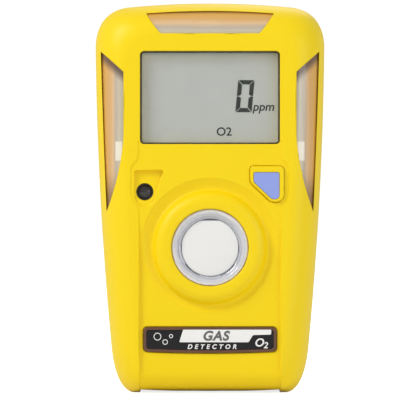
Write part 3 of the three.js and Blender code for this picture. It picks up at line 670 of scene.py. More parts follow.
def bodyForm(levels):
    # a closed form through the outline drawn in at each (depth, inset, rounding)
    bm = bmesh.new()
    ring = [bm.verts.new((x, 0, z)) for x, z in bodyOutline()]
    edges = [bm.edges.new((ring[i - 1], ring[i])) for i in range(len(ring))]
    before = levelMatrix(*levels[0])
    bmesh.ops.transform(bm, matrix=before, verts=ring)
    bmesh.ops.edgeloop_fill(bm, edges=edges)
    for level in levels[1:]:
        made = bmesh.ops.extrude_edge_only(bm, edges=edges)["geom"]
        ring = vertsOf(made)
        fresh = set(ring)
        edges = [item for item in made if isinstance(item, bmesh.types.BMEdge) and set(item.verts) <= fresh]
        after = levelMatrix(*level)
        bmesh.ops.transform(bm, matrix=after @ before.inverted(), verts=ring)
        before = after
    bmesh.ops.edgeloop_fill(bm, edges=edges)
    bmesh.ops.recalc_face_normals(bm, faces=bm.faces)
    return bm


def roundingLevels(flat, tip, radius, inset, steps):
    # from the flat end of a rounded edge to where it runs into the flank
    found = []
    for i in range(steps + 1):
        turn = i / steps * math.pi / 2
        found.append((flat + (tip - flat) * math.cos(turn), inset, radius * (1 - math.sin(turn))))
    return found


def frontForm(inset, face, back, steps=18):
    rounding = roundingLevels(body["flankFront"], face, body["frontRound"] - inset, inset, steps)
    return bodyForm([*rounding, (back, inset, 0)])


def rearForm(inset, front, back, steps=9):
    rounding = roundingLevels(body["flankBack"], back, body["backRound"] - inset / 2, inset, steps)
    return bodyForm([(front, inset, 0), *rounding[::-1]])


recess = {
    "halfWidth": 15.6,
    "panel": -18.5,
    "dishFloor": -18.1,
    "underLow": 0.25,
    "underHigh": 0.8,
}

bib = {
    "depth": 0.22,
    "slope": 0.22,
    "corners": [
        (15.8, 55.6, 0), (15.8, 51.8, 1.0), (17.45, 50.2, 1.0), (17.45, 43.6, 1.4), (15.6, 41.0, 1.0), (15.6, -3.0, 0),
    ],
}

ring = {"crest": -20.5, "bore": 8.51, "outer": 12.5, "seat": 10.1, "collar": 11.5, "collarBack": -12.4}

displayHole = {"halfWidth": 15.45, "bottom": 55.15, "top": 75.7, "corner": 0.9}

portPocket = {
    "corners": [(-16.8, 49.4, 0.6), (-16.8, 42.6, 1.6), (-15.6, 41.5, 1.6), (-12.7, 41.5, 1.4), (-10.2, 49.4, 0.6)],
    "shallow": -18.75,
    "deep": -17.95,
    "hole": 1.9,
}

buttonWell = {
    "corners": [(8.75, 50.4, 0.9), (16.5, 50.4, 1.1), (16.5, 42.2, 1.9), (13.4, 42.2, 0.9), (8.75, 46.6, 0.9)],
}

plateRecess = {
    "halfWidth": 14.8,
    "top": 14.85,
    "bottom": 9.25,
    "sag": 0.35,
    "corner": 0.9,
    "floor": -18.0,
}

sideWindow = {
    "top": (24.2, 75.7),
    "neck": (20.2, 72.1),
    "shoulder": (19.1, 71.1),
    "bend": (19.1, 56.5),
    "pull": (19.75, 48.5),
    "tip": (22.9, 40.2),
    "belly": (23.7, 58.0),
}

topWindow = {
    "foot": (10.9, 79.6),
    "pull": (12.6, 81.4),
    "corner": (14.1, 84.1),
    "arch": 85.2,
}


def sideWindowOutline(side, gap=0.0):
    w = sideWindow
    points = [(w["top"][0] - gap, w["top"][1] - 2.5 * gap)]
    points += bentPoints(points[0], (w["belly"][0] - gap, w["belly"][1]), (w["tip"][0], w["tip"][1] + 6 * gap), 24)
    points += bentPoints(points[-1], (w["pull"][0] + gap, w["pull"][1]), (w["bend"][0] + gap, w["bend"][1]), 18)
    points.append((w["shoulder"][0] + gap, w["shoulder"][1] - gap))
    points.append((w["neck"][0] + gap, w["neck"][1] - gap))
    return [(side * x, z) for x, z in points]


def topWindowOutline(gap=0.0):
    w = topWindow
    foot = (w["foot"][0] - gap, w["foot"][1] + gap)
    corner = (w["corner"][0] - 1.6 * gap, w["corner"][1] - gap)
    rise = bentPoints(foot, (w["pull"][0] - gap, w["pull"][1]), corner, 8)
    arch = bentPoints(corner, (0, w["arch"] - gap), (-corner[0], corner[1]), 18)
    return [foot, *rise, *arch, *[(-x, z) for x, z in rise[-2::-1]], (-foot[0], foot[1])]


def underCut():
    half, low, high = recess["halfWidth"], recess["underLow"], recess["underHigh"]
    arch = bentPoints((half, high), (0, 2 * low - high), (-half, high), 24)
    return plate([(half, high), *arch, (-half, -4), (half, -4)], -30, 20)


def channelTool():
    # everything in front of the lower panel, whose foot curls back under the body
    w = recess
    edge = [(body["flankFront"], -3), (body["flankFront"], 0.3)]
    edge += curvePoints(edge[-1], (-14.5, 0.3), (w["panel"], 1.2), (w["panel"], 5.2), 14)
    edge += [(w["panel"], sensorCentre.z - 3), (body["face"] + bib["depth"], sensorCentre.z + 6)]
    edge += [(-25, sensorCentre.z + 6), (-25, -3)]
    return plate(edge, -w["halfWidth"], w["halfWidth"], along="X")


def dishTool():
    # a shallow bowl around the ring, with a soft lip and a soft foot
    floor = recess["dishFloor"]
    level = body["face"] + bib["depth"]
    profile = [(0, floor), (12.9, floor), (13.4, floor - 0.03), (13.8, floor - 0.13), (14.2, floor - 0.3)]
    profile += [(14.9, floor - 0.66), (15.2, level + 0.2), (15.35, level + 0.07), (15.5, level), (15.5, level - 1)]
    profile += [(0, level - 1)]
    return spun(profile, 0, sensorCentre.z, 128)


def flared(bm, depth, spread):
    # pushes the outline of the flat end at this depth outwards, which gives the sides a slope
    ends = [face for face in bm.faces if len(face.verts) > 4]
    cap = min(ends, key=lambda face: abs(face.calc_center_median().y - depth))
    shifts = []
    for loop in cap.loops:
        here = loop.vert.co
        before = (here - loop.link_loop_prev.vert.co).normalized().cross(cap.normal)
        after = (loop.link_loop_next.vert.co - here).normalized().cross(cap.normal)
        shifts.append((loop.vert, (before + after) / (1 + before.dot(after)) * spread))
    for vert, shift in shifts:
        vert.co += shift


def bibTool():
    # a shallow step with sloping sides
    left = [(-x, z, r) for x, z, r in bib["corners"][::-1]]
    step = plate(bib["corners"] + left, body["face"], body["face"] + bib["depth"])
    flared(step, body["face"], bib["slope"])
    cap = min(step.faces, key=lambda face: face.calc_center_median().y)
    made = bmesh.ops.extrude_face_region(step, geom=[cap])["geom"]
    bmesh.ops.translate(step, vec=(0, -1, 0), verts=vertsOf(made))
    bmesh.ops.delete(step, geom=[cap], context="FACES_ONLY")
    return step


def ringForm():
    # the raised ring, its flared foot and the collar behind it, as one turned profile
    w = ring
    floor = recess["dishFloor"]
    crest, outer, bore = w["crest"], w["outer"], w["bore"]
    profile = [(bore, crest + 0.5), (bore + 0.06, crest + 0.26), (bore + 0.2, crest + 0.1), (bore + 0.42, crest)]
    for i in range(13):
        turn = i / 12 * math.radians(78)
        profile.append((outer - 2.6 + 2.6 * math.sin(turn), crest + 2.3 - 2.3 * math.cos(turn)))
    profile += [(outer + 0.1, floor - 0.32), (outer + 0.3, floor - 0.12), (outer + 0.6, floor - 0.01)]
    profile += [(outer + 0.7, floor + 0.03), (outer + 0.7, -17.4), (w["collar"], -17.4), (w["collar"], w["collarBack"])]
    profile += [(w["seat"], w["collarBack"]), (w["seat"], -17.5), (bore, -17.5)]
    return spun(profile, 0, sensorCentre.z, 128, closed=True)


def pocketTool():
    # its floor slopes, deeper towards the top
    w = portPocket
    bm = plate([(x, z, r) for x, z, r in w["corners"]], body["face"] - 1, w["shallow"])
    low = min(z for x, z, r in w["corners"])
    high = max(z for x, z, r in w["corners"])
    slope = (w["deep"] - w["shallow"]) / (high - low)
    for vert in bm.verts:
        if vert.co.y > body["face"]:
            vert.co.y += (vert.co.z - low) * slope
    return bm


def plateOutline(grow=0.0, lift=0.0):
    w = plateRecess
    half, top, bottom = w["halfWidth"] + grow, w["top"] + grow, w["bottom"] - grow + lift
    sagged = bentPoints((-half, bottom), (0, bottom - 2 * w["sag"]), (half, bottom), 16)
    corner = w["corner"] + grow * 0.5
    left = [(-half, top, corner), (-half, bottom, corner)]
    return left + sagged[:-1] + [(half, bottom, corner), (half, top, corner)]


def leftCrisp(place):
    # the shallow step's slope and the narrow tips where the bowl runs into the channel stay as they are
    level = body["face"] + bib["depth"]
    shallow = body["face"] - 0.01 < place.y < level + 0.01
    onHole = abs(place.x) < displayHole["halfWidth"] + 0.05 and place.z > displayHole["bottom"] - 0.05
    onStep = shallow and abs(place.x) > 15.5 and place.z < displayHole["bottom"] + 1
    tips = abs(place.x) > 13.5 and 28 < place.z < 41.5 and place.y < -17.5
    reach = math.hypot(place.x, place.z - sensorCentre.z)
    lip = 15.4 < reach < 15.65 and place.y < -18.6
    return (onStep and not onHole) or tips or lip or place.y > -16.9


# radii, and depths at the end that the name says
frontDetail = {
    "behindFace": 2.3,
    "throat": 10.8,
    "throatBack": -10,
    "post": 2.4,
    "postFront": -14.5,
    "thread": 1.25,
    "threadFront": -13.5,
    "windowBack": -12.5,
    "cuts": (4.5, 12.0, 22.0, 46.8, 65.0, 77.8),   # heights at which the large faces are split
}


def displayOutline(inset=0.0, radius=displayHole["corner"]):
    half = displayHole["halfWidth"] - inset
    return oblong(-half, half, displayHole["bottom"] + inset, displayHole["top"] - inset, radius)


def buildFrontShell():
    w = frontDetail
    face = body["face"]
    shell = carved(frontForm(0, face, splitFront), [channelTool(), dishTool(), bibTool()])
    hollow = frontForm(body["wall"], face + w["behindFace"], splitFront + 2, 12)
    shell = carved(shell, [hollow, underCut()])
    shell = carved(shell, [barY(w["throat"], face - 2, w["throatBack"], 0, sensorCentre.z, 90)])
    posts = [barY(w["post"], w["postFront"], splitFront, place.x, place.z, 40) for place in shellScrews]
    shell = joined(shell, ringForm(), *posts)
    port = nodeCentre("sounder_port")
    windows = [sideWindowOutline(1), sideWindowOutline(-1), topWindowOutline()]
    tools = [
        plate(displayOutline(), face - 1, -10),
        *[plate(outline, face - 2, w["windowBack"]) for outline in windows],
        plate(buttonWell["corners"], face - 2, -16),
        pocketTool(),
        barY(portPocket["hole"], face - 1, -16, port.x, port.z),
        plate(plateOutline(), face - 1, plateRecess["floor"]),
    ]
    tools += [barY(w["thread"], w["threadFront"], 0, place.x, place.z, 28) for place in shellScrews]
    shell = tidied(carved(shell, tools), 0.04)
    parted(shell, [((0, 0, z), (0, 0, 1)) for z in w["cuts"]] + [((0, 0, 0), (1, 0, 0))])
    asPiece(shell, "frontShell", "yellow", ["front_shell"], edge=0.18, leave=leftCrisp)


buildFrontShell()
print("front shell ready")


# radii, and depths at the front end of each hole or boss
rearDetail = {
    "behindBack": 1.8,
    "post": 2.9,
    "postBack": 1.5,
    "screwHole": 1.45,
    "screwSeat": 2.45,
    "seatFront": 4,
    "clipBoss": 3.6,
    "clipBossFront": 1.2,
    "clipThread": 1.15,
    "clipThreadFront": 2,
}


def buildRearShell():
    w = rearDetail
    hollow = rearForm(body["wall"], splitRear - 2, rear - w["behindBack"], 8)
    shell = carved(rearForm(0, splitRear, rear), [hollow, underCut()])
    end = rear - w["postBack"]
    posts = [barY(w["post"], splitRear, end, place.x, place.z, 48) for place in shellScrews]
    shell = joined(shell, *posts, barY(w["clipBoss"], w["clipBossFront"], end, clipScrew.x, clipScrew.z, 48))
    tools = [barY(w["screwHole"], -6, rear + 1, place.x, place.z, 40) for place in shellScrews]
    tools += [barY(w["screwSeat"], w["seatFront"], rear + 1, place.x, place.z, 56) for place in shellScrews]
    tools.append(barY(w["clipThread"], w["clipThreadFront"], rear + 1, clipScrew.x, clipScrew.z, 32))
    asPiece(tidied(carved(shell, tools)), "rearShell", "yellow", ["rear_shell"], edge=0.22,
            leave=lambda place: place.y > splitRear + 0.5)


def buildGasket():
    low, high = nodeBox("shell_gasket")
    outer = bodyForm([(low.y, 0.7, 0), (high.y, 0.7, 0)])
    gasket = carved(outer, [bodyForm([(low.y - 1, 1.9, 0), (high.y + 1, 1.9, 0)])])
    asPiece(gasket, "shellGasket", "seal", ["shell_gasket"])


buildRearShell()
buildGasket()
print("rear shell ready")


readout = {
    "pane": 0.9,
    "windowGap": 0.04,
    "rim": 0.22,
    "digitLow": (5.6, 62.2),
    "digitHigh": (9.2, 69.3),
    "stroke": 0.95,
    "gap": 0.1,
    "slant": 0.09,
    "unit": {"text": "ppm", "size": 2.7, "place": (9.4, 62.55)},
    "gas": {"text": "O2", "size": 2.6, "place": (1.4, 57.05)},
}


def buildWindow():
    # a pane with a rim behind it, which frames the crystal
    low, high = nodeBox("display_lens")
    gap, rim = readout["windowGap"], readout["rim"]
    front = displayOutline(gap, displayHole["corner"] - gap)
    flange = oblong(low.x, high.x, low.z, high.z, 1.2)
    window = joined(plate(front, low.y, high.y - 0.2), plate(flange, high.y - 0.4, high.y))
    middle = (displayHole["bottom"] + displayHole["top"]) / 2
    inner = [(x * 0.985, z + (rim if z < middle else -rim), r) for x, z, r in front]
    window = carved(window, [plate(inner, low.y + readout["pane"], high.y + 1)])
    asPiece(window, "displayWindow", "window", ["display_lens"], edge=0.1)


def buildCrystal():
    low, high = nodeBox("display_glass")
    cell = oblong(low.x, high.x, low.z, high.z, 0.3)
    half = displayHole["halfWidth"] - 0.4
    front = oblong(-half, half, displayHole["bottom"] + 0.35, displayHole["top"] - 0.35, 0.5)
    crystal = joined(plate(cell, low.y, high.y), plate(front, crystalFace(), low.y + 0.2))
    asPiece(crystal, "displayCrystal", "crystal", ["display_glass"])


def crystalFace():
    return nodeBox("display_lens")[0].y + readout["pane"] + 0.1


def buildDigit():
    # the six lit bars of a seven-bar zero, mitred where they meet
    depth = crystalFace() - 0.05
    (left, bottom), (right, top) = readout["digitLow"], readout["digitHigh"]
    middle = (bottom + top) / 2
    t, g = readout["stroke"], readout["gap"]
    bars = [[(left + g, top), (right - g, top), (right - g - t, top - t), (left + g + t, top - t)]]
    bars.append([(x, bottom + top - z) for x, z in bars[0][::-1]])
    upper = [(right, top - g), (right, middle + g), (right - t / 2, middle + g / 2)]
    upper += [(right - t, middle + g + t / 3), (right - t, top - g - t)]
    for flipX in (False, True):
        for flipZ in (False, True):
            bars.append([(left + right - x if flipX else x, bottom + top - z if flipZ else z) for x, z in upper])
    bm = bmesh.new()
    for bar in bars:
        face = bm.faces.new([bm.verts.new((x, depth, z)) for x, z in bar])
        made = bmesh.ops.extrude_face_region(bm, geom=[face])["geom"]
        bmesh.ops.translate(bm, vec=(0, 0.05, 0), verts=vertsOf(made))
    lean = readout["slant"]
    slanted = Matrix(((1, 0, lean, -lean * bottom), (0, 1, 0, 0), (0, 0, 1, 0), (0, 0, 0, 1)))
    bmesh.ops.transform(bm, matrix=slanted, verts=bm.verts)
    bmesh.ops.recalc_face_normals(bm, faces=bm.faces)
    asPiece(bm, "readoutDigit", "ink")


def meshFromCurve(curve):
    held = addObject("drawn", curve)
    bm = evaluated(held)
    bpy.data.objects.remove(held)
    bpy.data.curves.remove(curve)
    bmesh.ops.remove_doubles(bm, verts=bm.verts, dist=1e-4)
    bmesh.ops.recalc_face_normals(bm, faces=bm.faces)
    return bm


def lettering(name, words, depth, material, slant=0.0, spacing=1.0, thick=0.05, align="LEFT", bold=0.012,
              rearward=False):
    # text drawn flat, turned to face forwards (or rearwards) and laid on the surface at its depth
    curve = bpy.data.curves.new(name, "FONT")
    curve.body = words["text"]
    curve.size = words["size"]
    curve.shear = slant
    curve.space_character = spacing
    curve.align_x = align
    curve.extrude = thick / 2
    curve.offset = bold * words["size"]
    curve.resolution_u = 6
    bm = meshFromCurve(curve)
    turn = Matrix.Rotation(math.pi / 2, 4, "X")
    lift = -thick / 2
    if rearward:
        turn = Matrix.Rotation(math.pi, 4, "Z") @ turn
        lift = thick / 2
    x, z = words["place"]
    bmesh.ops.transform(bm, matrix=Matrix.Translation((x, depth + lift, z)) @ turn, verts=bm.verts)
    asPiece(bm, name, material)


buildWindow()
buildCrystal()
buildDigit()
lettering("readoutUnit", readout["unit"], crystalFace(), "ink", slant=0.2)
lettering("readoutGas", readout["gas"], crystalFace(), "ink")
print("display ready")


labelPrint = {
    "thick": 0.03,
    "left": 12.9,
    "title": {"text": "PORTABLE GAS DETECTOR", "size": 1.75, "foot": 25.2},
    "lines": {"GAS": 22.4, "RANGE": 20.3, "SERIAL": 18.2, "DATE": 16.1},
    "lineSize": 1.25,
    "lineStart": 6.4,
    "margin": 1.6,
    "rule": 24.3,
    "ruleThick": 0.12,
    "bars": {"low": 10.2, "high": 14.2, "unit": 0.16, "widths": (3, 1, 1, 2, 1, 3, 2, 1, 1, 3, 1, 2, 2, 1, 3, 1, 1, 2)},
}


def addBlock(bm, x0, x1, y0, y1, z0, z1):
    middle = Matrix.Translation(((x0 + x1) / 2, (y0 + y1) / 2, (z0 + z1) / 2))
    bmesh.ops.create_cube(bm, size=1, matrix=middle @ Matrix.Diagonal((x1 - x0, y1 - y0, z1 - z0, 1)))


def buildRearLabel():
    w = labelPrint
    low, high = nodeBox("rear_label")
    surface = high.y - w["thick"]
    label = plate(oblong(low.x, high.x, low.z, high.z, 1.2), low.y, surface)
    asPiece(label, "rearLabel", "paper", ["rear_label"], edge=0.06)
    title = {**w["title"], "place": (w["left"], w["title"]["foot"])}
    lettering("labelLine1", title, surface, "ink", thick=w["thick"], bold=0.02, rearward=True)
    for i, (text, foot) in enumerate(w["lines"].items()):
        words = {"text": text, "size": w["lineSize"], "place": (w["left"], foot)}
        lettering(f"labelLine{i + 2}", words, surface, "ink", thick=w["thick"], bold=0.008, rearward=True)
    bars = w["bars"]
    printed = bmesh.new()
    x = w["left"]
    for width in bars["widths"]:
        addBlock(printed, x - width * bars["unit"], x, surface, high.y, bars["low"], bars["high"])
        x -= (width + 1.5) * bars["unit"]
    start = low.x + w["margin"]
    rules = [(high.x - w["margin"], w["rule"])] + [(w["lineStart"], foot) for foot in w["lines"].values()]
    for end, height in rules:
        addBlock(printed, start, end, surface, high.y, height - w["ruleThick"], height)
    asPiece(printed, "labelBars", "ink")


buildRearLabel()
print("rear label ready")


lens = {
    "sink": 0.4,
    "thick": 1.5,
    "gap": 0.015,
    "back": -12.7,
    "sideBands": (24.4, 18.9),
    "sideShade": (0, 50.0, 42.0, 0.72),
    "topBands": (85.0, 78.9),
    "topShade": (0, 84.2, 85.2, 0.35),
    "lampDrop": 0.4,
    "lampAcross": 0.75,
    "lampUp": 2.1,
}


def lensSkin():
    face = body["face"]
    outer = frontForm(lens["sink"], face + lens["sink"], splitFront, 18)
    inner = frontForm(lens["sink"] + lens["thick"], face + lens["sink"] + lens["thick"], splitFront + 1, 14)
    return carved(outer, [inner])


def buildLens(name, node, outline, material):
    skin = carved(lensSkin(), [plate(outline, body["face"] - 2, lens["back"])], "INTERSECT")
    asPiece(tidied(skin), name, material, [node])


def buildLenses():
    w = sideWindow
    lean = -(w["top"][1] - w["neck"][1]) / (w["top"][0] - w["neck"][0])
    edge = w["top"][1] + lean * w["top"][0]
    shadows = [(lean, edge - 3.2, edge - 0.6, 0.9), lens["sideShade"]]
    for side, word in ((1, "Right"), (-1, "Left")):
        place = nodeCentre(f"alarm_led_{word.lower()}")
        lamp = {"place": (place.x, 0, place.z - lens["lampDrop"]), "across": lens["lampAcross"], "up": lens["lampUp"]}
        materials[f"amber{word}"] = bandedLens(f"amber{word}", "X", *lens["sideBands"], shadows, lamp)
        outline = sideWindowOutline(side, lens["gap"])
        buildLens(f"alarmLens{word}", f"alarm_lens_{word.lower()}", outline, f"amber{word}")
    materials["amberTop"] = bandedLens("amberTop", "Z", *lens["topBands"], [lens["topShade"]])
    buildLens("alarmLensTop", "alarm_lens_top", topWindowOutline(lens["gap"]), "amberTop")


buildLenses()
print("alarm lights ready")


button = {
    "crown": -19.75,
    "foot": -19.42,
    "gap": 0.3,
    "inlay": [(9.65, 48.9, 0.3), (15.3, 48.9, 0.4), (15.3, 43.0, 0.9), (13.65, 43.0, 0.4), (9.65, 46.8, 0.3)],
    "inlaySink": 0.5,
    "inlayFace": -19.68,
    "inlayGap": 0.06,
    "back": -16.4,
    "footGap": 0.08,
    "flange": (-16.7, -16.0),
    "flangeReach": 0.55,
    "stem": 1.3,
    "stemFront": -16.2,
    "edge": 0.12,
}


def grown(corners, grow):
    # every corner moved out along the line that halves its angle
    found = []
    count = len(corners)
    for i, (x, z, radius) in enumerate(corners):
        here = Vector((x, z))
        before = (here - Vector(corners[i - 1][:2])).normalized()
        after = (Vector(corners[(i + 1) % count][:2]) - here).normalized()
        turn = before.x * after.y - before.y * after.x
        side = 1 if turn > 0 else -1
        outward = (before - after).normalized()
        reach = grow / math.sqrt(max((1 + before.dot(after)) / 2, 0.1))
        moved = here + outward * reach
        found.append((moved.x, moved.y, max(radius + grow, 0.15)))
    return found


def buildButton():
    well = buttonWell["corners"]
    w = button
    end = nodeBox("button_cap")[1].y
    centre = nodeCentre("switch_plunger")
    sunk = w["crown"] + w["inlaySink"]
    crown = plate(grown(well, -w["gap"]), w["crown"], w["foot"] + 0.3)
    foot = plate(grown(well, -w["footGap"]), w["foot"], w["back"])
    flange = plate(grown(well, w["flangeReach"]), *w["flange"])
    stem = barY(w["stem"], w["stemFront"], end, centre.x, centre.z, 40)
    pocket = plate(grown(w["inlay"], w["inlayGap"]), w["crown"] - 1.25, sunk)
    cap = tidied(carved(joined(crown, foot, flange, stem), [pocket]))
    parted(cap, [((12.5, 0, 0), (1, 0, 0))], 5.0)
    asPiece(cap, "buttonCap", "yellow", ["button_cap"], body="button", edge=w["edge"])
    insert = plate(w["inlay"], w["inlayFace"], sunk)
    asPiece(insert, "buttonInlay", "blue", ["button_inlay"], body="button", edge=w["edge"])


buildButton()
print("button ready")


portCup = {"gap": 0.08, "holes": 6, "holeRadius": 0.16, "holeDepth": 1.0, "holeReach": 0.8}


def buildPort():
    w = portCup
    port = nodeCentre("sounder_port")
    low, high = nodeBox("sounder_port")
    r = portPocket["hole"] - w["gap"]
    profile = [(0, low.y + 0.35), (0.5, low.y + 0.42), (1.0, low.y + 0.62), (1.3, low.y + 0.7), (1.45, low.y + 0.5)]
    profile += [(1.55, low.y + 0.1), (1.65, low.y), (r - 0.03, low.y + 0.03), (r, low.y + 0.12)]
    cup = spun(profile + [(r, high.y), (0, high.y)], port.x, port.z, 72)
    holes = []
    for i in range(w["holes"]):
        turn = i / w["holes"] * 2 * math.pi
        x, z = port.x + w["holeReach"] * math.cos(turn), port.z + w["holeReach"] * math.sin(turn)
        holes.append(barY(w["holeRadius"], low.y, low.y + w["holeDepth"], x, z, 16))
    cup = carved(cup, holes)
    asPiece(tidied(cup), "sounderPort", "glossBlack", ["sounder_port"])


buildPort()


inlet = {
    "outer": 8.48,
    "inner": 6.4,
    "crest": -20.0,
    "seat": -18.2,
    "discRadius": 6.32,
    "discCrown": -19.45,
    "discFlat": {"top": 5.95, "sides": 6.22},
    "slot": (-0.3, 0.26),
    "slotDepth": 1.6,
    "slotAngles": (-38.44, 38.44),
}


def buildRetainer():
    # a clear ring that falls in steps towards the disc, with two crescent slots below it
    w = inlet
    crest, r = w["crest"], w["inner"]
    profile = [
        (5.6, -17.6), (5.6, w["seat"]), (r, w["seat"]), (r, crest + 0.95), (r + 0.08, crest + 0.85),
        (r + 0.3, crest + 0.8), (r + 0.42, crest + 0.68), (r + 0.75, crest + 0.5), (r + 0.88, crest + 0.3),
        (r + 1.05, crest + 0.1), (r + 1.25, crest + 0.01), (r + 1.5, crest), (w["outer"] - 0.3, crest + 0.04),
        (w["outer"] - 0.1, crest + 0.14), (w["outer"], crest + 0.35), (w["outer"], -17.6),
    ]
    retainer = spun(profile, 0, sensorCentre.z, 144, closed=True)
    slots = []
    for angle in w["slotAngles"]:
        near, far, floor = r + w["slot"][0], r + w["slot"][1], crest + w["slotDepth"]
        tube = spun([(near, crest), (far, crest), (far, floor), (near, floor)], segments=144, closed=True)
        wedge = box(-2.0, 2.0, crest - 0.5, crest + 2, -9, -3)
        slot = carved(tube, [turned(wedge, math.radians(angle), "Y")], "INTERSECT")
        slots.append(shifted(slot, 0, 0, sensorCentre.z))
    retainer = carved(retainer, slots)
    asPiece(tidied(retainer), "sensorRetainer", "ring", ["sensor_retainer"], angle=50)


def buildFilter():
    w = inlet
    crown, seat, r = w["discCrown"], w["seat"], w["discRadius"]
    profile = [(0, crown)]
    for i in range(1, 13):
        share = i / 12
        profile.append((r * share * 0.94, crown + 0.3 * share ** 3))
    profile += [(r * 0.985, crown + 0.4), (r, crown + 0.55), (r, seat), (0, seat)]
    disc = spun(profile, 0, 0, 128)
    flat = w["discFlat"]
    cuts = [
        box(-9, 9, crown - 1, seat + 1, flat["top"], 9),
        box(-9, -flat["sides"], crown - 1, seat + 1, -9, 9),
        box(flat["sides"], 9, crown - 1, seat + 1, -9, 9),
    ]
    disc = shifted(carved(disc, cuts), 0, 0, sensorCentre.z)
    asPiece(tidied(disc), "sensorFilter", "membrane", ["sensor_filter"])


buildRetainer()
buildFilter()
print("gas inlet ready")


nameplate = {
    "rim": -18.85,
    "panel": -18.8,
    "inset": 0.75,
    "gap": 0.12,
    "panelThick": 0.35,
    "print": 0.04,
    "signStroke": 0.16,
    "band": [(-5.9, 14.25), (13.5, 14.25), (13.5, 13.1), (9.5, 13.0), (8.5, 11.4), (-6.8, 11.4)],
    "words": {
        "Title": {"text": "GAS", "size": 2.9, "place": (1.2, 11.85)},
        "Second": {"text": "DETECTOR", "size": 1.4, "place": (0.4, 9.95)},
        "Gas": {"text": "O", "size": 2.5, "place": (9.8, 10.5)},
        "Number": {"text": "2", "size": 1.9, "place": (11.8, 10.1)},
    },
    "styles": {
        "Title": {"align": "CENTER", "spacing": 1.12, "slant": 0.22, "bold": 0.035},
        "Second": {"align": "CENTER", "spacing": 1.75, "slant": 0.22, "bold": 0.03},
        "Gas": {"slant": 0.2, "bold": 0.02},
        "Number": {"slant": 0.2, "bold": 0.02},
    },
    "sign": [(-11.6, 12.65, 0.85), (-9.9, 11.45, 0.6), (-8.6, 12.75, 0.45)],
}


def buildNameplate():
    w = nameplate
    floor = plateRecess["floor"]
    rim = carved(
        plate(plateOutline(-w["gap"]), w["rim"], floor),
        [plate(plateOutline(-w["inset"]), w["rim"] - 1, w["panel"] + w["panelThick"])],
    )
    asPiece(tidied(rim), "nameplateRim", "plateRim", ["nameplate"], edge=0.12)
    panel = plate(plateOutline(-w["inset"] - 0.03), w["panel"], w["panel"] + w["panelThick"])
    asPiece(panel, "nameplatePanel", "plateBlack", edge=0.08)
    surface, base = w["panel"] - w["print"], w["panel"] + 0.01
    band = plate([(x, z, 0.25) for x, z in w["band"]], surface, base)
    asPiece(band, "nameplateBand", "whiteInk")
    for key, words in w["words"].items():
        # the title lies on the white band, the rest on the dark panel
        depth, ink = (surface, "greyInk") if key == "Title" else (w["panel"], "whiteInk")
        lettering(f"nameplate{key}", words, depth, ink, thick=w["print"], **w["styles"][key])
    for i, (x, z, r) in enumerate(w["sign"]):
        inner = r - w["signStroke"]
        dot = spun([(inner, surface), (r, surface), (r, base), (inner, base)], x, z, 40, closed=True)
        asPiece(dot, f"nameplateSign{i + 1}", "whiteInk")


buildNameplate()
print("nameplate ready")


def buildScrew(node, radius, shank, seat):
    # the threaded shank ends at the node's front and the pan head sits on its seat
    low, high = nodeBox(node)
    centre = nodeCentre(node)
    head = high.y - seat
    profile = [(0, low.y), (shank - 0.35, low.y), (shank, low.y + 0.5)]
    turns = int((seat - low.y - 1.6) / 0.5)
    for i in range(turns):
        base = low.y + 0.6 + i * 0.5
        profile += [(shank - 0.18, base), (shank, base + 0.25)]
    profile += [(shank - 0.1, seat - 0.5), (shank - 0.1, seat), (radius, seat), (radius, seat + head * 0.5)]
    for i in range(1, 7):
        turn = i / 6 * math.pi / 2
        profile.append((radius - 0.75 * (1 - math.cos(turn)), seat + head * 0.5 + head * 0.5 * math.sin(turn)))
    profile.append((0, high.y))
    bm = spun(profile, centre.x, centre.z, 48)
    socket = bmesh.new()
    across = radius * 0.4
    bmesh.ops.create_cone(socket, cap_ends=True, segments=6, radius1=across, radius2=across, depth=head * 1.2)
    bm = carved(bm, [shifted(turned(socket, math.pi / 2, "X"), centre.x, high.y, centre.z)])
    words = node.split("_")
    name = words[0] + "".join(word.capitalize() for word in words[1:])
    asPiece(tidied(bm), name, "screw", [node], angle=34)


for index in (1, 2, 3, 4):
    buildScrew(f"shell_screw_{index}", 2.15, 1.1, 4.05)
buildScrew("clip_screw", 2.4, 1.05, nodeBox("clip_screw")[1].y - 1.4)
print("screws ready")


clip = {
    "pivot": (12.2, 58.0),
    "sheet": [(-7, 35, 0.7), (7, 35, 0.7), (7, 72, 3.2), (-7, 72, 3.2)],
    "thick": 1.0,
    "tip": 33.0,
    "grip": 9.8,
    "lever": [
        (9.9, 33.1), (11.6, 34.2), (13.1, 36.6), (14, 40.5), (14.4, 46), (14.6, 53), (15.3, 59), (16.6, 65),
        (18.2, 71), (19.5, 76.2),
    ],
    "leverPlan": [(-5.6, 33.0, 0.6), (5.6, 33.0, 0.6), (5.6, 76.6, 2.2), (-5.6, 76.6, 2.2)],
    "leverHalf": 5.6,
    "ridges": (67.5, 69.3, 71.1, 72.9),
    "pinHole": 1.25,
    "baseEar": (6.4, 2.6),      # how far it spreads at its root, and its radius
    "leverEar": (6.0, 2.2),
    "leverEarRoot": 15.4,
    "toothHalf": 0.55,
    "baseTeeth": (-4.4, -2.2, 0, 2.2, 4.4),
    "leverTeeth": (-3.3, -1.1, 1.1, 3.3),
    "ridge": 0.42,
    "ridgeMargin": 1.3,
    "springCoil": 2.05,
    "springWire": 0.36,
    "springTurns": 5.117,
    "springWidth": 6.0,
    "springEnds": ((-3.75, -8.0), (3.7, 7.0)),
}


def barX(radius, x0, x1, y, z, segments=48):
    return spunX(bar(radius, x0, x1), y, z, segments)


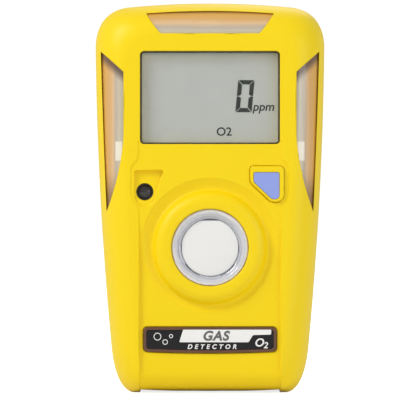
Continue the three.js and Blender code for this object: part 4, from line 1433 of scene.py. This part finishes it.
def smoothPath(points, steps=6):
    # a curve through the points, whose direction at each one follows its neighbours
    found = [points[0]]
    for i in range(len(points) - 1):
        before = Vector(points[max(i - 1, 0)])
        a, b = Vector(points[i]), Vector(points[i + 1])
        after = Vector(points[min(i + 2, len(points) - 1)])
        found += curvePoints(a, a + (b - before) / 6, b - (after - a) / 6, b, steps)
    return found


def strip(path, thick, half):
    # a bent strip of sheet, thickened to the rear of its path
    front, back = [], []
    for i, point in enumerate(path):
        along = (Vector(path[min(i + 1, len(path) - 1)]) - Vector(path[max(i - 1, 0)])).normalized()
        front.append(Vector(point))
        back.append(Vector(point) + Vector((along.y, -along.x)) * thick)
    return plate(front + back[::-1], -half, half, along="X")


def sideEar(x0, x1, root, spread, radius):
    y, z = clip["pivot"]
    tip = y + radius if root < y else y - radius
    bend = radius * 0.98
    corners = [(root, z - spread), (tip, z - radius, bend), (tip, z + radius, bend), (root, z + spread)]
    return plate(corners, x0, x1, along="X", segments=12)


def buildClipBase():
    w = clip
    low, high = nodeBox("clip_base")
    back = low.y + w["thick"]
    half = w["sheet"][1][0]
    sheet = plate(w["sheet"], low.y, back)
    tongue = box(1 - half, half - 1, low.y, back, w["tip"], w["tip"] + 2.6)
    grip = box(1 - half, half - 1, low.y, w["grip"], w["tip"], w["tip"] + 1)
    ears = [sideEar(x, x + 1, back - 0.5, *w["baseEar"]) for x in (-half, half - 1)]
    base = joined(sheet, tongue, grip, *ears)
    cuts = [barX(w["pinHole"], -9, 9, *w["pivot"]), barY(1.35, low.y - 1, back + 1, clipScrew.x, clipScrew.z, 40)]
    tooth = w["toothHalf"]
    for x in w["baseTeeth"]:
        cuts.append(box(x - tooth, x + tooth, w["grip"] - 0.6, w["grip"] + 1, w["tip"] - 1, w["tip"] + 2))
    asPiece(tidied(carved(base, cuts)), "clipBase", "steel", ["clip_base"], edge=0.14)


def buildClipLever():
    w = clip
    half = w["leverHalf"]
    path = smoothPath(w["lever"])
    lever = carved(strip(path, w["thick"], half), [plate(w["leverPlan"], 5, 25)], "INTERSECT")
    ears = [sideEar(x, x + 1, w["leverEarRoot"], *w["leverEar"]) for x in (-half, half - 1)]
    ridges = []
    for z in w["ridges"]:
        near = min(path, key=lambda point: abs(point[1] - z))
        end = half - w["ridgeMargin"]
        ridges.append(barX(w["ridge"], -end, end, near[0] + 0.86, near[1], 24))
    lever = joined(lever, *ears, *ridges)
    tooth = w["toothHalf"]
    teeth = [box(x - tooth, x + tooth, 8, 10.35, 32, 34.4) for x in w["leverTeeth"]]
    lever = carved(lever, [barX(w["pinHole"], -9, 9, *w["pivot"]), *teeth])
    asPiece(tidied(lever, 0.01), "clipJaw", "steel", ["clip_jaw"], body="clip_lever", edge=0.14)


def buildClipPin():
    # the shaft between two domed heads
    half = clip["sheet"][1][0]
    dome = ((0, 0.9), (1.3, 0.9), (1.75, 0.72), (1.9, 0.45), (1.9, 0.12), (1.2, 0.12))
    left = [(radius, -half - out) for radius, out in dome]
    pin = spunX(left + [(radius, -place) for radius, place in left[::-1]], *clip["pivot"], 64)
    asPiece(pin, "clipPin", "screw", ["clip_pin"])


def springPath():
    # one leg down onto the base, the coils around the pin, and one leg up under the lever
    radius, width, turns = clip["springCoil"], clip["springWidth"], clip["springTurns"]
    lowEnd, highEnd = clip["springEnds"]
    count = round(turns * 28)
    path = [(-width / 2, *lowEnd)]
    for i in range(count + 1):
        share = i / count
        turn = math.pi - share * turns * 2 * math.pi
        path.append((width * (share - 0.5), radius * math.cos(turn), radius * math.sin(turn)))
    return [*path, (width / 2, *highEnd)]


def buildClipSpring():
    y, z = clip["pivot"]
    curve = bpy.data.curves.new("wire", "CURVE")
    curve.dimensions = "3D"
    curve.bevel_depth = clip["springWire"]
    curve.bevel_resolution = 3
    curve.use_fill_caps = True
    spline = curve.splines.new("POLY")
    path = springPath()
    spline.points.add(len(path) - 1)
    for point, place in zip(spline.points, path):
        point.co = (*place, 1)
    spring = shifted(meshFromCurve(curve), 0, y, z)
    piece = asPiece(spring, "clipSpring", "steel", ["clip_spring"], body=None)
    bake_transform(piece)


buildClipBase()
buildClipLever()
buildClipPin()
buildClipSpring()
print("clip ready")


carried = {
    "seal": [
        "display_adhesive", "contact_strip_upper", "contact_strip_lower", "sounder_gasket", "sensor_o_ring",
        "motor_cradle",
    ],
    "black": ["display_frame", "switch_body", "switch_plunger", "sounder_body", "processor", "board_header"],
    "lamp": ["alarm_led_top", "alarm_led_left", "alarm_led_right"],
    "white": ["sensor_cell"],
    "board": ["sensor_board", "main_board"],
    "gold": ["sensor_pin_1", "sensor_pin_2", "sensor_pin_3", "battery_tab_positive", "battery_tab_negative"],
    "wrap": ["battery_cell"],
    "screw": ["board_screw_1", "board_screw_2"],
    "steel": ["motor_can", "motor_shaft", "vibration_weight"],
}


for key, nodes in carried.items():
    for node in nodes:
        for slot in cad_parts[node].material_slots:
            slot.material = materials[key]

print("all pieces ready")
